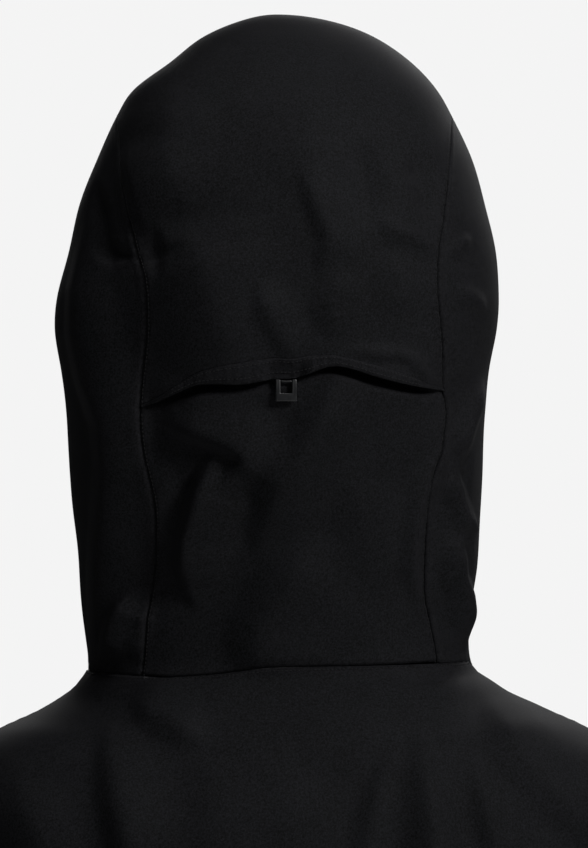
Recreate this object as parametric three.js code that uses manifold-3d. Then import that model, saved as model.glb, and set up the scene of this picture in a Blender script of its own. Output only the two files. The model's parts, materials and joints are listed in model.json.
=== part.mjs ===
// A hardshell jacket with its hood up, as an assembly of fabric panels, zips, tabs and fittings.
// Millimetres. +Z is up, the wearer faces +Y, and the origin is the middle of the neck at the neck seam.
import * as THREE from 'three';
import { mergeVertices } from 'three/addons/utils/BufferGeometryUtils.js';
import Module from 'manifold-3d';

const wasm = await Module();
wasm.setup();

// ---- Driving dimensions ----

const GAP = 0.3;                    // clearance between touching pieces
const FABRIC = 1.5;                 // shell laminate with its seam allowances and tape
const FACING = 1.2;                 // facings, flaps and linings

const HOOD_HEIGHT = 394;            // neck seam to crown
const HOOD_HALF_WIDTH = 132;
const HOOD_BACK = 122;              // neck axis to the back of the hood
const HOOD_FRONT = 122;             // neck axis to the brow
const BACK_LENGTH = 745;            // neck seam to the back hem
const FRONT_LENGTH = 715;           // neck level to the front hem
const BODY_HALF_WIDTH = 210;
const BODY_BACK = 144;
const SIDE_PANEL_HALF_DEPTH = 60;
const SIDE_PANEL_X = 120;
const SHOULDER_HALF_WIDTH = 226;
const SHOULDER_DROP = 78;           // neck seam down to the shoulder point
const FRONT_AT_NECK = 104;          // neck axis to the centre front, at neck level
const FRONT_SLOPE = 0.064;          // how fast the straight centre front leans out on its way down
const SQUARENESS = 2.25;            // power of the level sections: 2 is an ellipse
const HEM_SLOPE_REACH = 120;        // depth, front and back, over which the hem slopes

const COLLAR_TOP = 58;
const BROW = 318;
const FACE_HALF_WIDTH = 79;
const FRONT_NECK_DROP = 55;         // how far the neck seam falls at the front
const BRIM_DEPTH = 44;
const BRIM_HALF_WIDTH = 76;
const BINDING_WIDTH = 9;

const SLIT_HALF_LENGTH = 86;
const SLIT_X = 10;                  // middle of the slit, a little to the wearer's right
const SLIT_HEIGHT = 176;            // neck seam to the slit's middle
const SLIT_RISE = 15;               // how far the slit's middle stands above its ends
const SLIT_GAP = 7;
const CORD_DIAMETER = 2.4;
const TAB_WIDTH = 12;
const TAB_HEIGHT = 13.2;
const TAB_HOLE = 5.4;
const TAB_THICKNESS = 2.2;
const TAB_X = 5;
const LOCK_SIZE = [11, 6, 9];
const BUTTON_DIAMETER = 4;
const BUTTON_LENGTH = 3.6;
const BUTTON_TRAVEL = 1.8;

const SLEEVE_LENGTH = 640;
const CUFF_LENGTH = 38;
const CUFF_TAB_WIDTH = 26;
const SLEEVE_SEGMENTS = 20;

const ZIP_TAPE = 14;                // width of one main zip tape
const ZIP_SLOT = 2;                 // room between the two tapes for the slider's web
const ZIP_COIL = 3;
const POCKET_TAPE = 6;
const HAND_ZIP_LENGTH = 170;
const HAND_ZIP_TOP = -400;
const CHEST_ZIP_LENGTH = 150;
const CHEST_ZIP_TOP = -175;
const HAND_ZIP_X = 128;
const CHEST_ZIP_X = 84;
const HEM_FACING = 22;
const STORM_FLAP_TOP = 22;
const STORM_FLAP_WIDTHS = [31, 24]; // from the zip to the sewn edge and to the free edge
const CHIN_GUARD_HALF_WIDTH = 33;
const FLAP_SEAT = 12;               // width of the raised edge that is sewn to the front

const RING_SEGMENTS = 36;
const FAR = 400;                    // reach of the cutting blocks

// ---- Colours ----

const SHELL_BLACK = { color: 0x1b1b1d, roughness: 0.86, metalness: 0 };
const LINING_GREY = { color: 0x26272a, roughness: 0.92, metalness: 0 };
const TAPE_BLACK = { color: 0x141416, roughness: 0.8, metalness: 0 };
const COIL_BLACK = { color: 0x101012, roughness: 0.45, metalness: 0 };
const PLASTIC_GREY = { color: 0x2e2f31, roughness: 0.38, metalness: 0 };
const METAL_BLACK = { color: 0x202022, roughness: 0.35, metalness: 0.8 };
const CORD_BLACK = { color: 0x18181a, roughness: 0.8, metalness: 0 };

const group = new THREE.Group();

function addPiece(name, geometry, look, parent = group) {
  const mesh = new THREE.Mesh(geometry, new THREE.MeshStandardMaterial(look));
  mesh.name = name;
  parent.add(mesh);
  return mesh;
}

// ---- Solids ----

function toSolid(geometry) {
  const bare = geometry.clone();
  bare.deleteAttribute('normal');
  bare.deleteAttribute('uv');
  const merged = mergeVertices(bare, 1e-4);
  return new wasm.Manifold(new wasm.Mesh({
    numProp: 3,
    vertProperties: new Float32Array(merged.attributes.position.array),
    triVerts: new Uint32Array(merged.index.array),
  }));
}

function toGeometry(solid) {
  const mesh = solid.getMesh();
  const geometry = new THREE.BufferGeometry();
  geometry.setAttribute('position', new THREE.BufferAttribute(mesh.vertProperties, 3));
  geometry.setIndex(new THREE.BufferAttribute(mesh.triVerts, 1));
  geometry.computeVertexNormals();
  return geometry;
}

function addSolid(name, solid, look, parent = group) {
  return addPiece(name, toGeometry(solid), look, parent);
}

function block(x0, x1, y0, y1, z0, z1) {
  const box = new THREE.BoxGeometry(x1 - x0, y1 - y0, z1 - z0);
  box.translate((x0 + x1) / 2, (y0 + y1) / 2, (z0 + z1) / 2);
  return toSolid(box);
}

function outlineShape(points) {
  return new THREE.Shape(points.map(([a, b]) => new THREE.Vector2(a, b)));
}

// A prism along Y from an outline of [x, z] points.
function prismAlongY(points, y0, y1) {
  const body = new THREE.ExtrudeGeometry(outlineShape(points), { depth: y1 - y0, bevelEnabled: false });
  body.rotateX(Math.PI / 2);
  body.translate(0, y1, 0);
  return toSolid(body);
}

// A prism along X from an outline of [y, z] points.
function prismAlongX(points, x0, x1) {
  const body = new THREE.ExtrudeGeometry(outlineShape(points), { depth: x1 - x0, bevelEnabled: false });
  const axes = new THREE.Matrix4().makeBasis(
    new THREE.Vector3(0, 1, 0),
    new THREE.Vector3(0, 0, 1),
    new THREE.Vector3(1, 0, 0),
  );
  body.applyMatrix4(axes);
  body.translate(x0, 0, 0);
  return toSolid(body);
}

// ---- Lofts: a list of rings, each a list of points, closed at both ends by a fan ----

function loft(rings) {
  const count = rings[0].length;
  const points = rings.flat();
  const faces = [];
  for (let i = 0; i + 1 < rings.length; i += 1) {
    for (let j = 0; j < count; j += 1) {
      const k = (j + 1) % count;
      const a = i * count + j;
      const b = i * count + k;
      faces.push(a, b, b + count, a, b + count, a + count);
    }
  }
  for (const [ring, turn] of [[0, 1], [rings.length - 1, -1]]) {
    const middle = points.length;
    const centre = rings[ring].reduce((sum, p) => sum.add(p), new THREE.Vector3());
    points.push(centre.divideScalar(count));
    for (let j = 0; j < count; j += 1) {
      const a = ring * count + j;
      const b = ring * count + (j + 1) % count;
      faces.push(...(turn > 0 ? [middle, b, a] : [middle, a, b]));
    }
  }
  return outward(points, faces);
}

function outward(points, faces) {
  let volume = 0;
  for (let i = 0; i < faces.length; i += 3) {
    const [a, b, c] = [points[faces[i]], points[faces[i + 1]], points[faces[i + 2]]];
    volume += a.dot(new THREE.Vector3().crossVectors(b, c));
  }
  const index = volume > 0 ? faces : faces.slice().reverse();
  const geometry = new THREE.BufferGeometry();
  const numbers = points.flatMap((p) => p.toArray());
  geometry.setAttribute('position', new THREE.Float32BufferAttribute(numbers, 3));
  geometry.setIndex(index);
  return toSolid(geometry);
}

// The same rings moved along their own normals; a positive distance goes inward.
function offsetRings(rings, distance) {
  const count = rings[0].length;
  return rings.map((ring, i) => ring.map((point, j) => {
    const below = rings[Math.max(i - 1, 0)][j];
    const above = rings[Math.min(i + 1, rings.length - 1)][j];
    const along = new THREE.Vector3().subVectors(above, below);
    const round = new THREE.Vector3().subVectors(ring[(j + 1) % count], ring[(j - 1 + count) % count]);
    const normal = new THREE.Vector3().crossVectors(round, along).normalize();
    return point.clone().addScaledVector(normal, -distance);
  }));
}

// ---- The jacket's outer surface, as level rings from below the hem to the crown ----

// Shares of the hood's height, half width, back and front, from the neck up to the crown.
const HOOD_STATIONS = [
  [0.0, 0.867, 0.64, 0.85],
  [0.127, 0.89, 0.69, 0.84],
  [0.254, 0.92, 0.795, 0.85],
  [0.38, 0.95, 0.90, 0.87],
  [0.5, 0.99, 0.975, 0.89],
  [0.565, 1.0, 1.0, 0.91],
  [0.635, 0.973, 1.0, 0.94],
  [0.71, 0.92, 0.975, 0.975],
  [0.787, 0.845, 0.90, 1.0],
  [0.858, 0.75, 0.78, 0.99],
  [0.893, 0.67, 0.69, 0.94],
  [0.931, 0.54, 0.54, 0.83],
  [0.967, 0.40, 0.37, 0.64],
  [0.99, 0.23, 0.20, 0.37],
  [1.0, 0.06, 0.05, 0.10],
];
// Shares of the way down and out from the neck to the shoulder point.
const SHOULDER_STATIONS = [
  [0.1, 0.115],
  [0.28, 0.345],
  [0.48, 0.56],
  [0.74, 0.83],
];
const UNDERARM_LEVEL = -160;
const SHOULDER_BACK = BODY_BACK - 26;
const BELOW_HEM = -Math.max(BACK_LENGTH, FRONT_LENGTH) - 20;
const NECK_BACK = HOOD_STATIONS[0][2] * HOOD_BACK;
const NECK_HALF_WIDTH = HOOD_STATIONS[0][1] * HOOD_HALF_WIDTH;

function frontLine(z) {
  return FRONT_AT_NECK - FRONT_SLOPE * z;
}

function bodyStation(z, half, back) {
  return { z, half, back, front: frontLine(z) };
}

function surfaceStations() {
  const stations = [
    bodyStation(BELOW_HEM, BODY_HALF_WIDTH - 2, BODY_BACK + 2),
    bodyStation(UNDERARM_LEVEL, BODY_HALF_WIDTH + 2, BODY_BACK - 16),
    bodyStation(-SHOULDER_DROP - 34, SHOULDER_HALF_WIDTH - 2, SHOULDER_BACK + 5),
    bodyStation(-SHOULDER_DROP, SHOULDER_HALF_WIDTH, SHOULDER_BACK),
  ];
  for (const [down, out] of SHOULDER_STATIONS.slice().reverse()) {
    const half = NECK_HALF_WIDTH + out * (SHOULDER_HALF_WIDTH - NECK_HALF_WIDTH);
    const back = NECK_BACK + out * (SHOULDER_BACK - NECK_BACK);
    stations.push(bodyStation(-down * SHOULDER_DROP, half, back));
  }
  for (const [up, half, back, front] of HOOD_STATIONS) {
    const z = up * HOOD_HEIGHT;
    const straight = z <= COLLAR_TOP;
    stations.push({
      z,
      half: half * HOOD_HALF_WIDTH,
      back: back * HOOD_BACK,
      front: straight ? frontLine(z) : front * HOOD_FRONT,
    });
  }
  return stations;
}

const STATIONS = surfaceStations();

function stationAt(z) {
  const next = Math.max(STATIONS.findIndex((s) => s.z >= z), 1);
  const [low, high] = [STATIONS[next - 1], STATIONS[next]];
  const share = (z - low.z) / (high.z - low.z);
  const mix = (key) => low[key] + share * (high[key] - low[key]);
  return { z, half: mix('half'), back: mix('back'), front: mix('front') };
}

function ringPoint(station, angle) {
  const bend = (value) => Math.sign(value) * Math.abs(value) ** (2 / SQUARENESS);
  const deep = bend(Math.sin(angle));
  const x = bend(Math.cos(angle)) * station.half;
  return new THREE.Vector3(x, deep * (deep < 0 ? station.back : station.front), station.z);
}

function levelRing(station) {
  const step = (2 * Math.PI) / RING_SEGMENTS;
  return Array.from({ length: RING_SEGMENTS }, (_, j) => ringPoint(station, j * step));
}

// How far the surface stands behind or in front of the neck axis, at a place seen from behind.
function depthAt(x, z, key) {
  const station = stationAt(z);
  const share = Math.min(Math.abs(x) / station.half, 0.999) ** SQUARENESS;
  return station[key] * (1 - share) ** (1 / SQUARENESS);
}

const RINGS = STATIONS.map(levelRing);

function skin(distance) {
  const rings = offsetRings(RINGS, distance);
  if (distance > 0) {
    rings[0] = rings[0].map((p) => p.clone().add(new THREE.Vector3(0, 0, -5)));
  }
  return loft(rings);
}

const outside = skin(0);
const inside = skin(FABRIC);
const besideOutside = skin(-GAP);
const besideInside = skin(FABRIC + GAP);

// ---- Seams, as places on the surface seen from behind or from the side ----

// The hood's two long seams, [x, z] from the neck up. The hood sits turned a little to the wearer's right.
const SEAM_LEFT = [
  [-80, -80],
  [-80, 0],
  [-72, 60],
  [-71, 100],
  [-78, 140],
  [-77, 170],
  [-74, 205],
  [-81, 245],
  [-91, 300],
];
const SEAM_RIGHT = [
  [95, -80],
  [95, 0],
  [89, 60],
  [93, 105],
  [98, 145],
  [95, 190],
  [93, 230],
  [97, 268],
  [100, 300],
];
const SEAM_CORNER = [HOOD_STATIONS[9][1] * HOOD_HALF_WIDTH + 1, HOOD_STATIONS[9][0] * HOOD_HEIGHT];
const SHOULDER_SEAM_Y = 15;
const HOOD_TOP_SEAM_Y = 0;

function slitLine(x) {
  return SLIT_HEIGHT - SLIT_RISE * ((x - SLIT_X) / SLIT_HALF_LENGTH) ** 2;
}

// The neck seam runs level round the back and falls towards the front.
function neckSeamOutline(shift) {
  return [
    [-FAR, shift],
    [20, shift - 3],
    [60, shift - 0.45 * FRONT_NECK_DROP],
    [FRONT_AT_NECK, shift - FRONT_NECK_DROP],
    [FAR, shift - FRONT_NECK_DROP],
  ];
}

function aboveNeck() {
  return prismAlongX([...neckSeamOutline(GAP / 2), [FAR, 2 * FAR], [-FAR, 2 * FAR]], -FAR, FAR);
}

function belowNeck() {
  return prismAlongX([...neckSeamOutline(-GAP / 2), ...hemOutline(0)], -FAR, FAR);
}

// The hem, level at the front and at the back, raised by a distance.
function hemOutline(raise) {
  return [
    [FAR, raise - FRONT_LENGTH],
    [HEM_SLOPE_REACH, raise - FRONT_LENGTH],
    [-HEM_SLOPE_REACH, raise - BACK_LENGTH],
    [-FAR, raise - BACK_LENGTH],
  ];
}

function faceOpening(grow) {
  const middle = (COLLAR_TOP + BROW) / 2;
  const half = (BROW - COLLAR_TOP) / 2 + grow;
  const outline = Array.from({ length: 28 }, (_, j) => {
    const angle = (2 * Math.PI * j) / 28;
    const bend = (value) => Math.sign(value) * Math.abs(value) ** 0.8;
    return [(FACE_HALF_WIDTH + grow) * bend(Math.cos(angle)), middle + half * bend(Math.sin(angle))];
  });
  return prismAlongY(outline, 10, FAR);
}

function zipChannel() {
  const half = ZIP_TAPE + ZIP_SLOT / 2 + GAP;
  return block(-half, half, 50, FAR, BELOW_HEM - 30, COLLAR_TOP + 12);
}

const shell = outside.subtract(inside);
const hoodShell = shell.intersect(aboveNeck()).subtract(faceOpening(0)).subtract(zipChannel());
const bodyShell = shell.intersect(belowNeck()).subtract(zipChannel());

// ---- Hood panels ----

// The hood's middle strip behind, widened or narrowed by a margin.
function middleStrip(margin, low, high) {
  const [cornerX, cornerZ] = [SEAM_CORNER[0] + margin, SEAM_CORNER[1] - margin];
  const right = SEAM_RIGHT.map(([x, z]) => [x + margin, z]);
  const left = SEAM_LEFT.map(([x, z]) => [x - margin, z]).reverse();
  const outline = [...right, [cornerX, cornerZ], [-cornerX, cornerZ], ...left];
  const strip = prismAlongY(outline, -FAR, HOOD_TOP_SEAM_Y + margin);
  const top = block(-FAR, FAR, -FAR, FAR, SEAM_CORNER[1] - margin, 2 * FAR);
  return strip.add(top).intersect(block(-FAR, FAR, -FAR, FAR, low, high));
}

// Everything above the slit line moved by a shift.
function aboveSlit(shift) {
  const steps = 16;
  const reach = 130;
  const line = Array.from({ length: steps + 1 }, (_, j) => {
    const x = -reach + (2 * reach * j) / steps;
    const reached = Math.max(Math.min(x - SLIT_X, SLIT_HALF_LENGTH + 8), -SLIT_HALF_LENGTH - 8);
    return [x, slitLine(SLIT_X + reached) + shift];
  });
  return prismAlongY([...line, [reach, 2 * FAR], [-reach, 2 * FAR]], -FAR, FAR);
}

function buildHoodPanels() {
  const strip = middleStrip(-GAP / 2, -FAR, 2 * FAR);
  const middle = hoodShell.intersect(strip);
  addSolid('hood_crown_panel', middle.intersect(aboveSlit(0)), SHELL_BLACK);
  addSolid('hood_nape_panel', middle.subtract(aboveSlit(-SLIT_GAP)), SHELL_BLACK);
  const sides = hoodShell.subtract(middleStrip(GAP / 2, -FAR, 2 * FAR));
  const collarLevel = COLLAR_TOP + 18;
  const collar = (grow) => block(-FAR, FAR, 35 - grow, FAR, -FAR, collarLevel + grow);
  for (const [name, x0, x1] of [['left', -FAR, 0], ['right', 0, FAR]]) {
    const half = block(x0, x1, -FAR, FAR, -FAR, FAR);
    addSolid(`hood_side_${name}`, sides.intersect(half).subtract(collar(GAP / 2)), SHELL_BLACK);
    addSolid(`collar_${name}`, sides.intersect(half).intersect(collar(-GAP / 2)), SHELL_BLACK);
  }
}

// A band on one side of the skin between two distances from the outer surface.
function band(from, to) {
  return skin(from).subtract(skin(to));
}

function buildSlitFacings() {
  const backing = band(FABRIC + GAP, FABRIC + GAP + 1)
    .intersect(middleStrip(-4, 0, SLIT_HEIGHT + 60))
    .intersect(aboveSlit(-SLIT_GAP - 16))
    .subtract(aboveSlit(14))
    .intersect(block(-FAR, FAR, -FAR, 0, 0, FAR));
  addSolid('slit_backing', backing, LINING_GREY);
  const lip = band(-GAP - 1, -GAP)
    .intersect(middleStrip(-5, 0, SLIT_HEIGHT + 60))
    .intersect(aboveSlit(-0.5))
    .subtract(aboveSlit(9))
    .intersect(block(-FAR, FAR, -FAR, 0, 0, FAR));
  addSolid('slit_lip', lip, SHELL_BLACK);
}

function buildFaceBinding() {
  const binding = band(FABRIC + GAP, FABRIC + GAP + FACING)
    .intersect(faceOpening(BINDING_WIDTH))
    .subtract(faceOpening(0.5))
    .subtract(block(-40, 40, 10, FAR, 0, COLLAR_TOP + 30));
  addSolid('face_binding', binding, LINING_GREY);
}

// The stiffened peak, arched from side to side, that stands out from the brow.
function buildBrim() {
  const across = 16;
  const deep = 4;
  const rows = Array.from({ length: deep + 1 }, (_, i) => Array.from({ length: across + 1 }, (_, j) => {
    const side = -1 + (2 * j) / across;
    const x = side * BRIM_HALF_WIDTH;
    const out = (i / deep) * (BRIM_DEPTH + 20) * (1 - 0.7 * side ** 2) - 20;
    const z = BROW + 8 - 0.16 * out - 22 * side ** 2;
    return new THREE.Vector3(x, depthAt(x, BROW + 8, 'front') + out, z);
  }));
  const rings = Array.from({ length: across + 1 }, (_, j) => {
    const top = rows.map((row) => row[j]);
    const low = rows.map((row) => row[j].clone().setZ(row[j].z - 1.8)).reverse();
    return [...top, ...low];
  });
  addSolid('hood_brim', loft(rings).subtract(besideOutside), SHELL_BLACK);
}

// ---- Hood adjuster at the slit ----

function tubeAlong(points, diameter, sides, steps) {
  const section = new THREE.Shape(Array.from({ length: sides }, (_, j) => {
    const angle = (2 * Math.PI * j) / sides;
    return new THREE.Vector2((diameter / 2) * Math.cos(angle), (diameter / 2) * Math.sin(angle));
  }));
  const path = new THREE.CatmullRomCurve3(points);
  return new THREE.ExtrudeGeometry(section, { steps, bevelEnabled: false, extrudePath: path });
}

const CORD_LEVEL = slitLine(TAB_X) - 2.2;
const TAB_PIVOT = new THREE.Vector3(TAB_X, -depthAt(TAB_X, CORD_LEVEL, 'back'), CORD_LEVEL);

function buildHoodAdjuster() {
  const reach = SLIT_HALF_LENGTH - 6;
  const route = Array.from({ length: 9 }, (_, j) => {
    const x = SLIT_X - reach + (2 * reach * j) / 8;
    const z = slitLine(x) - 2.2 - 1.2 * Math.abs((x - SLIT_X) / reach);
    return new THREE.Vector3(x, -depthAt(x, z, 'back') + 0.2, z);
  });
  addPiece('hood_cord', tubeAlong(route, CORD_DIAMETER, 8, 24), CORD_BLACK);

  const outline = outlineShape([
    [-TAB_WIDTH / 2, -TAB_HEIGHT],
    [TAB_WIDTH / 2, -TAB_HEIGHT],
    [TAB_WIDTH / 2, 0],
    [-TAB_WIDTH / 2, 0],
  ]);
  const half = TAB_HOLE / 2;
  outline.holes.push(new THREE.Path([[-half, -half], [-half, half], [half, half], [half, -half]].map(
    ([a, b]) => new THREE.Vector2(a, b - TAB_HEIGHT / 2 - 0.6),
  )));
  const tab = new THREE.ExtrudeGeometry(outline, { depth: TAB_THICKNESS, bevelEnabled: false });
  tab.rotateX(Math.PI / 2);
  tab.translate(0, -0.9, -CORD_DIAMETER / 2 - GAP);
  addPiece('hood_adjuster_tab', tab, PLASTIC_GREY).position.copy(TAB_PIVOT);
}

function buildCordLock() {
  const [width, deep, tall] = LOCK_SIZE;
  const z = SLIT_HEIGHT - SLIT_GAP - 22 - tall / 2;
  const face = -depthAt(TAB_X, z - tall / 2, 'back') + FABRIC + GAP + 0.4;
  const lock = new THREE.Group();
  lock.position.set(TAB_X, face, z);
  group.add(lock);
  const boreRadius = BUTTON_DIAMETER / 2 + GAP;
  const bore = new THREE.CylinderGeometry(boreRadius, boreRadius, BUTTON_LENGTH, 16);
  bore.rotateX(Math.PI / 2);
  bore.translate(0, deep, -tall / 4);
  const body = block(-width / 2, width / 2, 0, deep, -tall / 2, tall / 2);
  const holeRadius = CORD_DIAMETER / 2 + 0.4;
  const cordHole = new THREE.CylinderGeometry(holeRadius, holeRadius, width + 2, 12);
  cordHole.rotateZ(Math.PI / 2);
  cordHole.translate(0, 2.2, tall / 4);
  addSolid('hood_cord_lock', body.subtract(toSolid(bore)).subtract(toSolid(cordHole)), PLASTIC_GREY, lock);
  const button = new THREE.CylinderGeometry(BUTTON_DIAMETER / 2, BUTTON_DIAMETER / 2, BUTTON_LENGTH, 16);
  button.rotateX(Math.PI / 2);
  const mesh = addPiece('hood_lock_button', button, METAL_BLACK, lock);
  mesh.position.set(0, deep + BUTTON_TRAVEL + GAP, -tall / 4);
}

function buildHangLoop() {
  const z = 13;
  const back = -depthAt(0, 9, 'back') + FABRIC + GAP + 0.8;
  const path = [
    [-32, back + 0.6, z],
    [-22, back + 6, z - 8],
    [0, back + 11, z - 13],
    [22, back + 6, z - 8],
    [32, back + 0.6, z],
  ];
  const section = outlineShape([[-0.6, -3], [0.6, -3], [0.6, 3], [-0.6, 3]]);
  const curve = new THREE.CatmullRomCurve3(path.map((p) => new THREE.Vector3(...p)));
  const strap = new THREE.ExtrudeGeometry(section, { steps: 20, bevelEnabled: false, extrudePath: curve });
  addSolid('hang_loop', toSolid(strap).intersect(besideInside), LINING_GREY);
}

// ---- Sleeves ----

// Outer edge x and z, inner edge x and z, half depth and middle in Y of each ring, on the right arm.
const ARM_SLOPE = Math.tan(THREE.MathUtils.degToRad(12));
const ARM_RINGS = [
  [180, -50, 166, -250, 78, 0],
  [236, -73, 196, -282, 80, 0],
  [272, -98, 206, -302, 79, 0],
  [304, -148, 218, -322, 77, 0],
  [326, -214, 227, -344, 74, 0],
  [341, -294, 234, -370, 71, 2],
  [352, -370, 242, -402, 69, 5],
];
// Shares of the forearm's length, with half width, half depth and shift in Y.
const FOREARM_RINGS = [
  [0.25, 55, 64, 11],
  [0.5, 52, 59, 18],
  [0.75, 49, 54, 26],
  [1.0, 46, 49, 33],
];

function sleeveEdges() {
  const edges = ARM_RINGS.map(([ox, oz, ix, iz, deep, y]) => ({
    outer: new THREE.Vector3(ox, y, oz),
    inner: new THREE.Vector3(ix, y, iz),
    deep,
  }));
  const elbow = edges[edges.length - 1];
  const start = elbow.outer.clone().add(elbow.inner).divideScalar(2);
  const forearm = SLEEVE_LENGTH - CUFF_LENGTH + start.z + SHOULDER_DROP;
  const down = new THREE.Vector3(ARM_SLOPE, 0, -1).normalize();
  const across = new THREE.Vector3(-down.z, 0, down.x);
  for (const [share, half, deep, y] of FOREARM_RINGS) {
    const middle = start.clone().addScaledVector(down, share * forearm).setY(y);
    edges.push({
      outer: middle.clone().addScaledVector(across, half),
      inner: middle.clone().addScaledVector(across, -half),
      deep,
    });
  }
  return { edges, down, across };
}

const ARM = sleeveEdges();

function armRing({ outer, inner, deep }, side, grow) {
  const middle = outer.clone().add(inner).divideScalar(2);
  const half = outer.clone().sub(inner).divideScalar(2);
  half.setLength(half.length() + grow);
  return Array.from({ length: SLEEVE_SEGMENTS }, (_, j) => {
    const angle = (2 * Math.PI * j) / SLEEVE_SEGMENTS;
    const point = middle.clone().addScaledVector(half, Math.cos(angle));
    point.y += (deep + grow) * Math.sin(angle);
    point.x *= side;
    return point;
  });
}

function armLoft(edges, side, grow, extend) {
  const rings = edges.map((edge) => armRing(edge, side, grow));
  if (extend) {
    const step = ARM.down.clone().multiplyScalar(extend);
    step.x *= side;
    rings.push(rings[rings.length - 1].map((p) => p.clone().add(step)));
  }
  return loft(rings);
}

// The part of the arm on the body's side of its lengthwise seams.
function underarmBlock(side, shift) {
  const line = ARM.edges.map(({ outer, inner }) => inner.clone().lerp(outer, 0.36));
  const points = line.map((p) => [side * (p.x + shift), p.z]);
  const last = points[points.length - 1];
  return prismAlongY([
    ...points,
    [last[0] + side * 20, last[1] - 100],
    [0, last[1] - 100],
    [0, points[0][1]],
  ], -FAR, FAR);
}

// The wrist's ring moved down the arm.
function wristEdge(along) {
  const wrist = ARM.edges[ARM.edges.length - 1];
  return {
    outer: wrist.outer.clone().addScaledVector(ARM.down, along),
    inner: wrist.inner.clone().addScaledVector(ARM.down, along),
    deep: wrist.deep,
  };
}

function buildSleeve(name, side) {
  const hollow = armLoft(ARM.edges, side, -FABRIC, 6);
  const sleeve = armLoft(ARM.edges, side, 0, 0).subtract(hollow).subtract(besideOutside);
  addSolid(`sleeve_under_${name}`, sleeve.intersect(underarmBlock(side, -GAP / 2)), SHELL_BLACK);
  addSolid(`sleeve_outer_${name}`, sleeve.subtract(underarmBlock(side, GAP / 2)), SHELL_BLACK);
  const cuff = armLoft([wristEdge(GAP), wristEdge(CUFF_LENGTH)], side, 0, 0);
  const cuffHollow = armLoft([wristEdge(GAP - 4), wristEdge(CUFF_LENGTH)], side, -FABRIC, 6);
  addSolid(`cuff_${name}`, cuff.subtract(cuffHollow), SHELL_BLACK);
  return hollow;
}

// A strip that follows the cuff from one angle to another, between two distances from it.
function cuffStrip(side, startStep, endStep, inner, outer, width) {
  const wrist = ARM.edges[ARM.edges.length - 1];
  const middleAlong = CUFF_LENGTH / 2;
  const rings = [];
  for (let step = startStep; step <= endStep; step += 1) {
    const angle = (2 * Math.PI * step) / SLEEVE_SEGMENTS;
    const ring = [];
    const rise = Math.min((step - startStep) / 2, 1);
    const low = typeof inner === 'number' ? inner : inner(rise);
    const high = typeof outer === 'number' ? outer : outer(rise);
    for (const [grow, along] of [[low, -1], [high, -1], [high, 1], [low, 1]]) {
      const middle = wrist.outer.clone().add(wrist.inner).divideScalar(2);
      const half = wrist.outer.clone().sub(wrist.inner).divideScalar(2);
      half.setLength(half.length() + grow);
      const point = middle.addScaledVector(half, Math.cos(angle));
      point.y += (wrist.deep + grow) * Math.sin(angle);
      point.addScaledVector(ARM.down, middleAlong + (along * width) / 2);
      point.x *= side;
      ring.push(point);
    }
    rings.push(ring);
  }
  return loft(rings);
}

// The tab is sewn down at the back of the wrist and closes towards the front.
const TAB_START = -5;
const TAB_END = 3;
const PAD = 0.8;
const CUFF_TAB_THICKNESS = 1.4;

function buildCuffTab(name, side) {
  const padTop = GAP + PAD;
  const hookTop = padTop + GAP + PAD;
  const loops = cuffStrip(side, TAB_START + 4, TAB_END + 2, GAP, padTop, CUFF_TAB_WIDTH - 4);
  addSolid(`cuff_loop_pad_${name}`, loops, LINING_GREY);
  const hooks = cuffStrip(side, TAB_END - 3, TAB_END, padTop + GAP, hookTop, CUFF_TAB_WIDTH - 6);
  addSolid(`cuff_hook_pad_${name}`, hooks, COIL_BLACK);
  const low = (rise) => GAP + rise * hookTop;
  const high = (rise) => low(rise) + CUFF_TAB_THICKNESS;
  addSolid(`cuff_tab_${name}`, cuffStrip(side, TAB_START, TAB_END, low, high, CUFF_TAB_WIDTH), TAPE_BLACK);
}

// ---- Body panels ----

function buildBodyPanels(hollows) {
  let body = bodyShell;
  for (const hollow of hollows) {
    body = body.subtract(hollow);
  }
  const sidePanel = (x0, x1, grow) => {
    const half = SIDE_PANEL_HALF_DEPTH + grow;
    return block(x0, x1, -half, half, -FAR * 3, UNDERARM_LEVEL - 40);
  };
  const backHalf = block(-FAR, FAR, -FAR, SHOULDER_SEAM_Y - GAP / 2, -FAR * 3, FAR);
  const frontHalf = block(-FAR, FAR, SHOULDER_SEAM_Y + GAP / 2, FAR, -FAR * 3, FAR);
  const sides = [['left', -FAR, -SIDE_PANEL_X], ['right', SIDE_PANEL_X, FAR]];
  let middle = body;
  for (const [name, x0, x1] of sides) {
    addSolid(`side_panel_${name}`, body.intersect(sidePanel(x0, x1, -GAP / 2)), SHELL_BLACK);
    middle = middle.subtract(sidePanel(x0, x1, GAP / 2));
  }
  addSolid('back_panel', middle.intersect(backHalf), SHELL_BLACK);
  return middle.intersect(frontHalf);
}

function buildHemFacing() {
  const ring = band(FABRIC + GAP, FABRIC + GAP + FACING)
    .intersect(belowNeck())
    .intersect(prismAlongX([...hemOutline(HEM_FACING), [-FAR, -3 * FAR], [FAR, -3 * FAR]], -FAR, FAR))
    .subtract(block(-34, 34, 50, FAR, -3 * FAR, 0));
  addSolid('hem_facing', ring, LINING_GREY);
}

// ---- Zips ----

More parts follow.
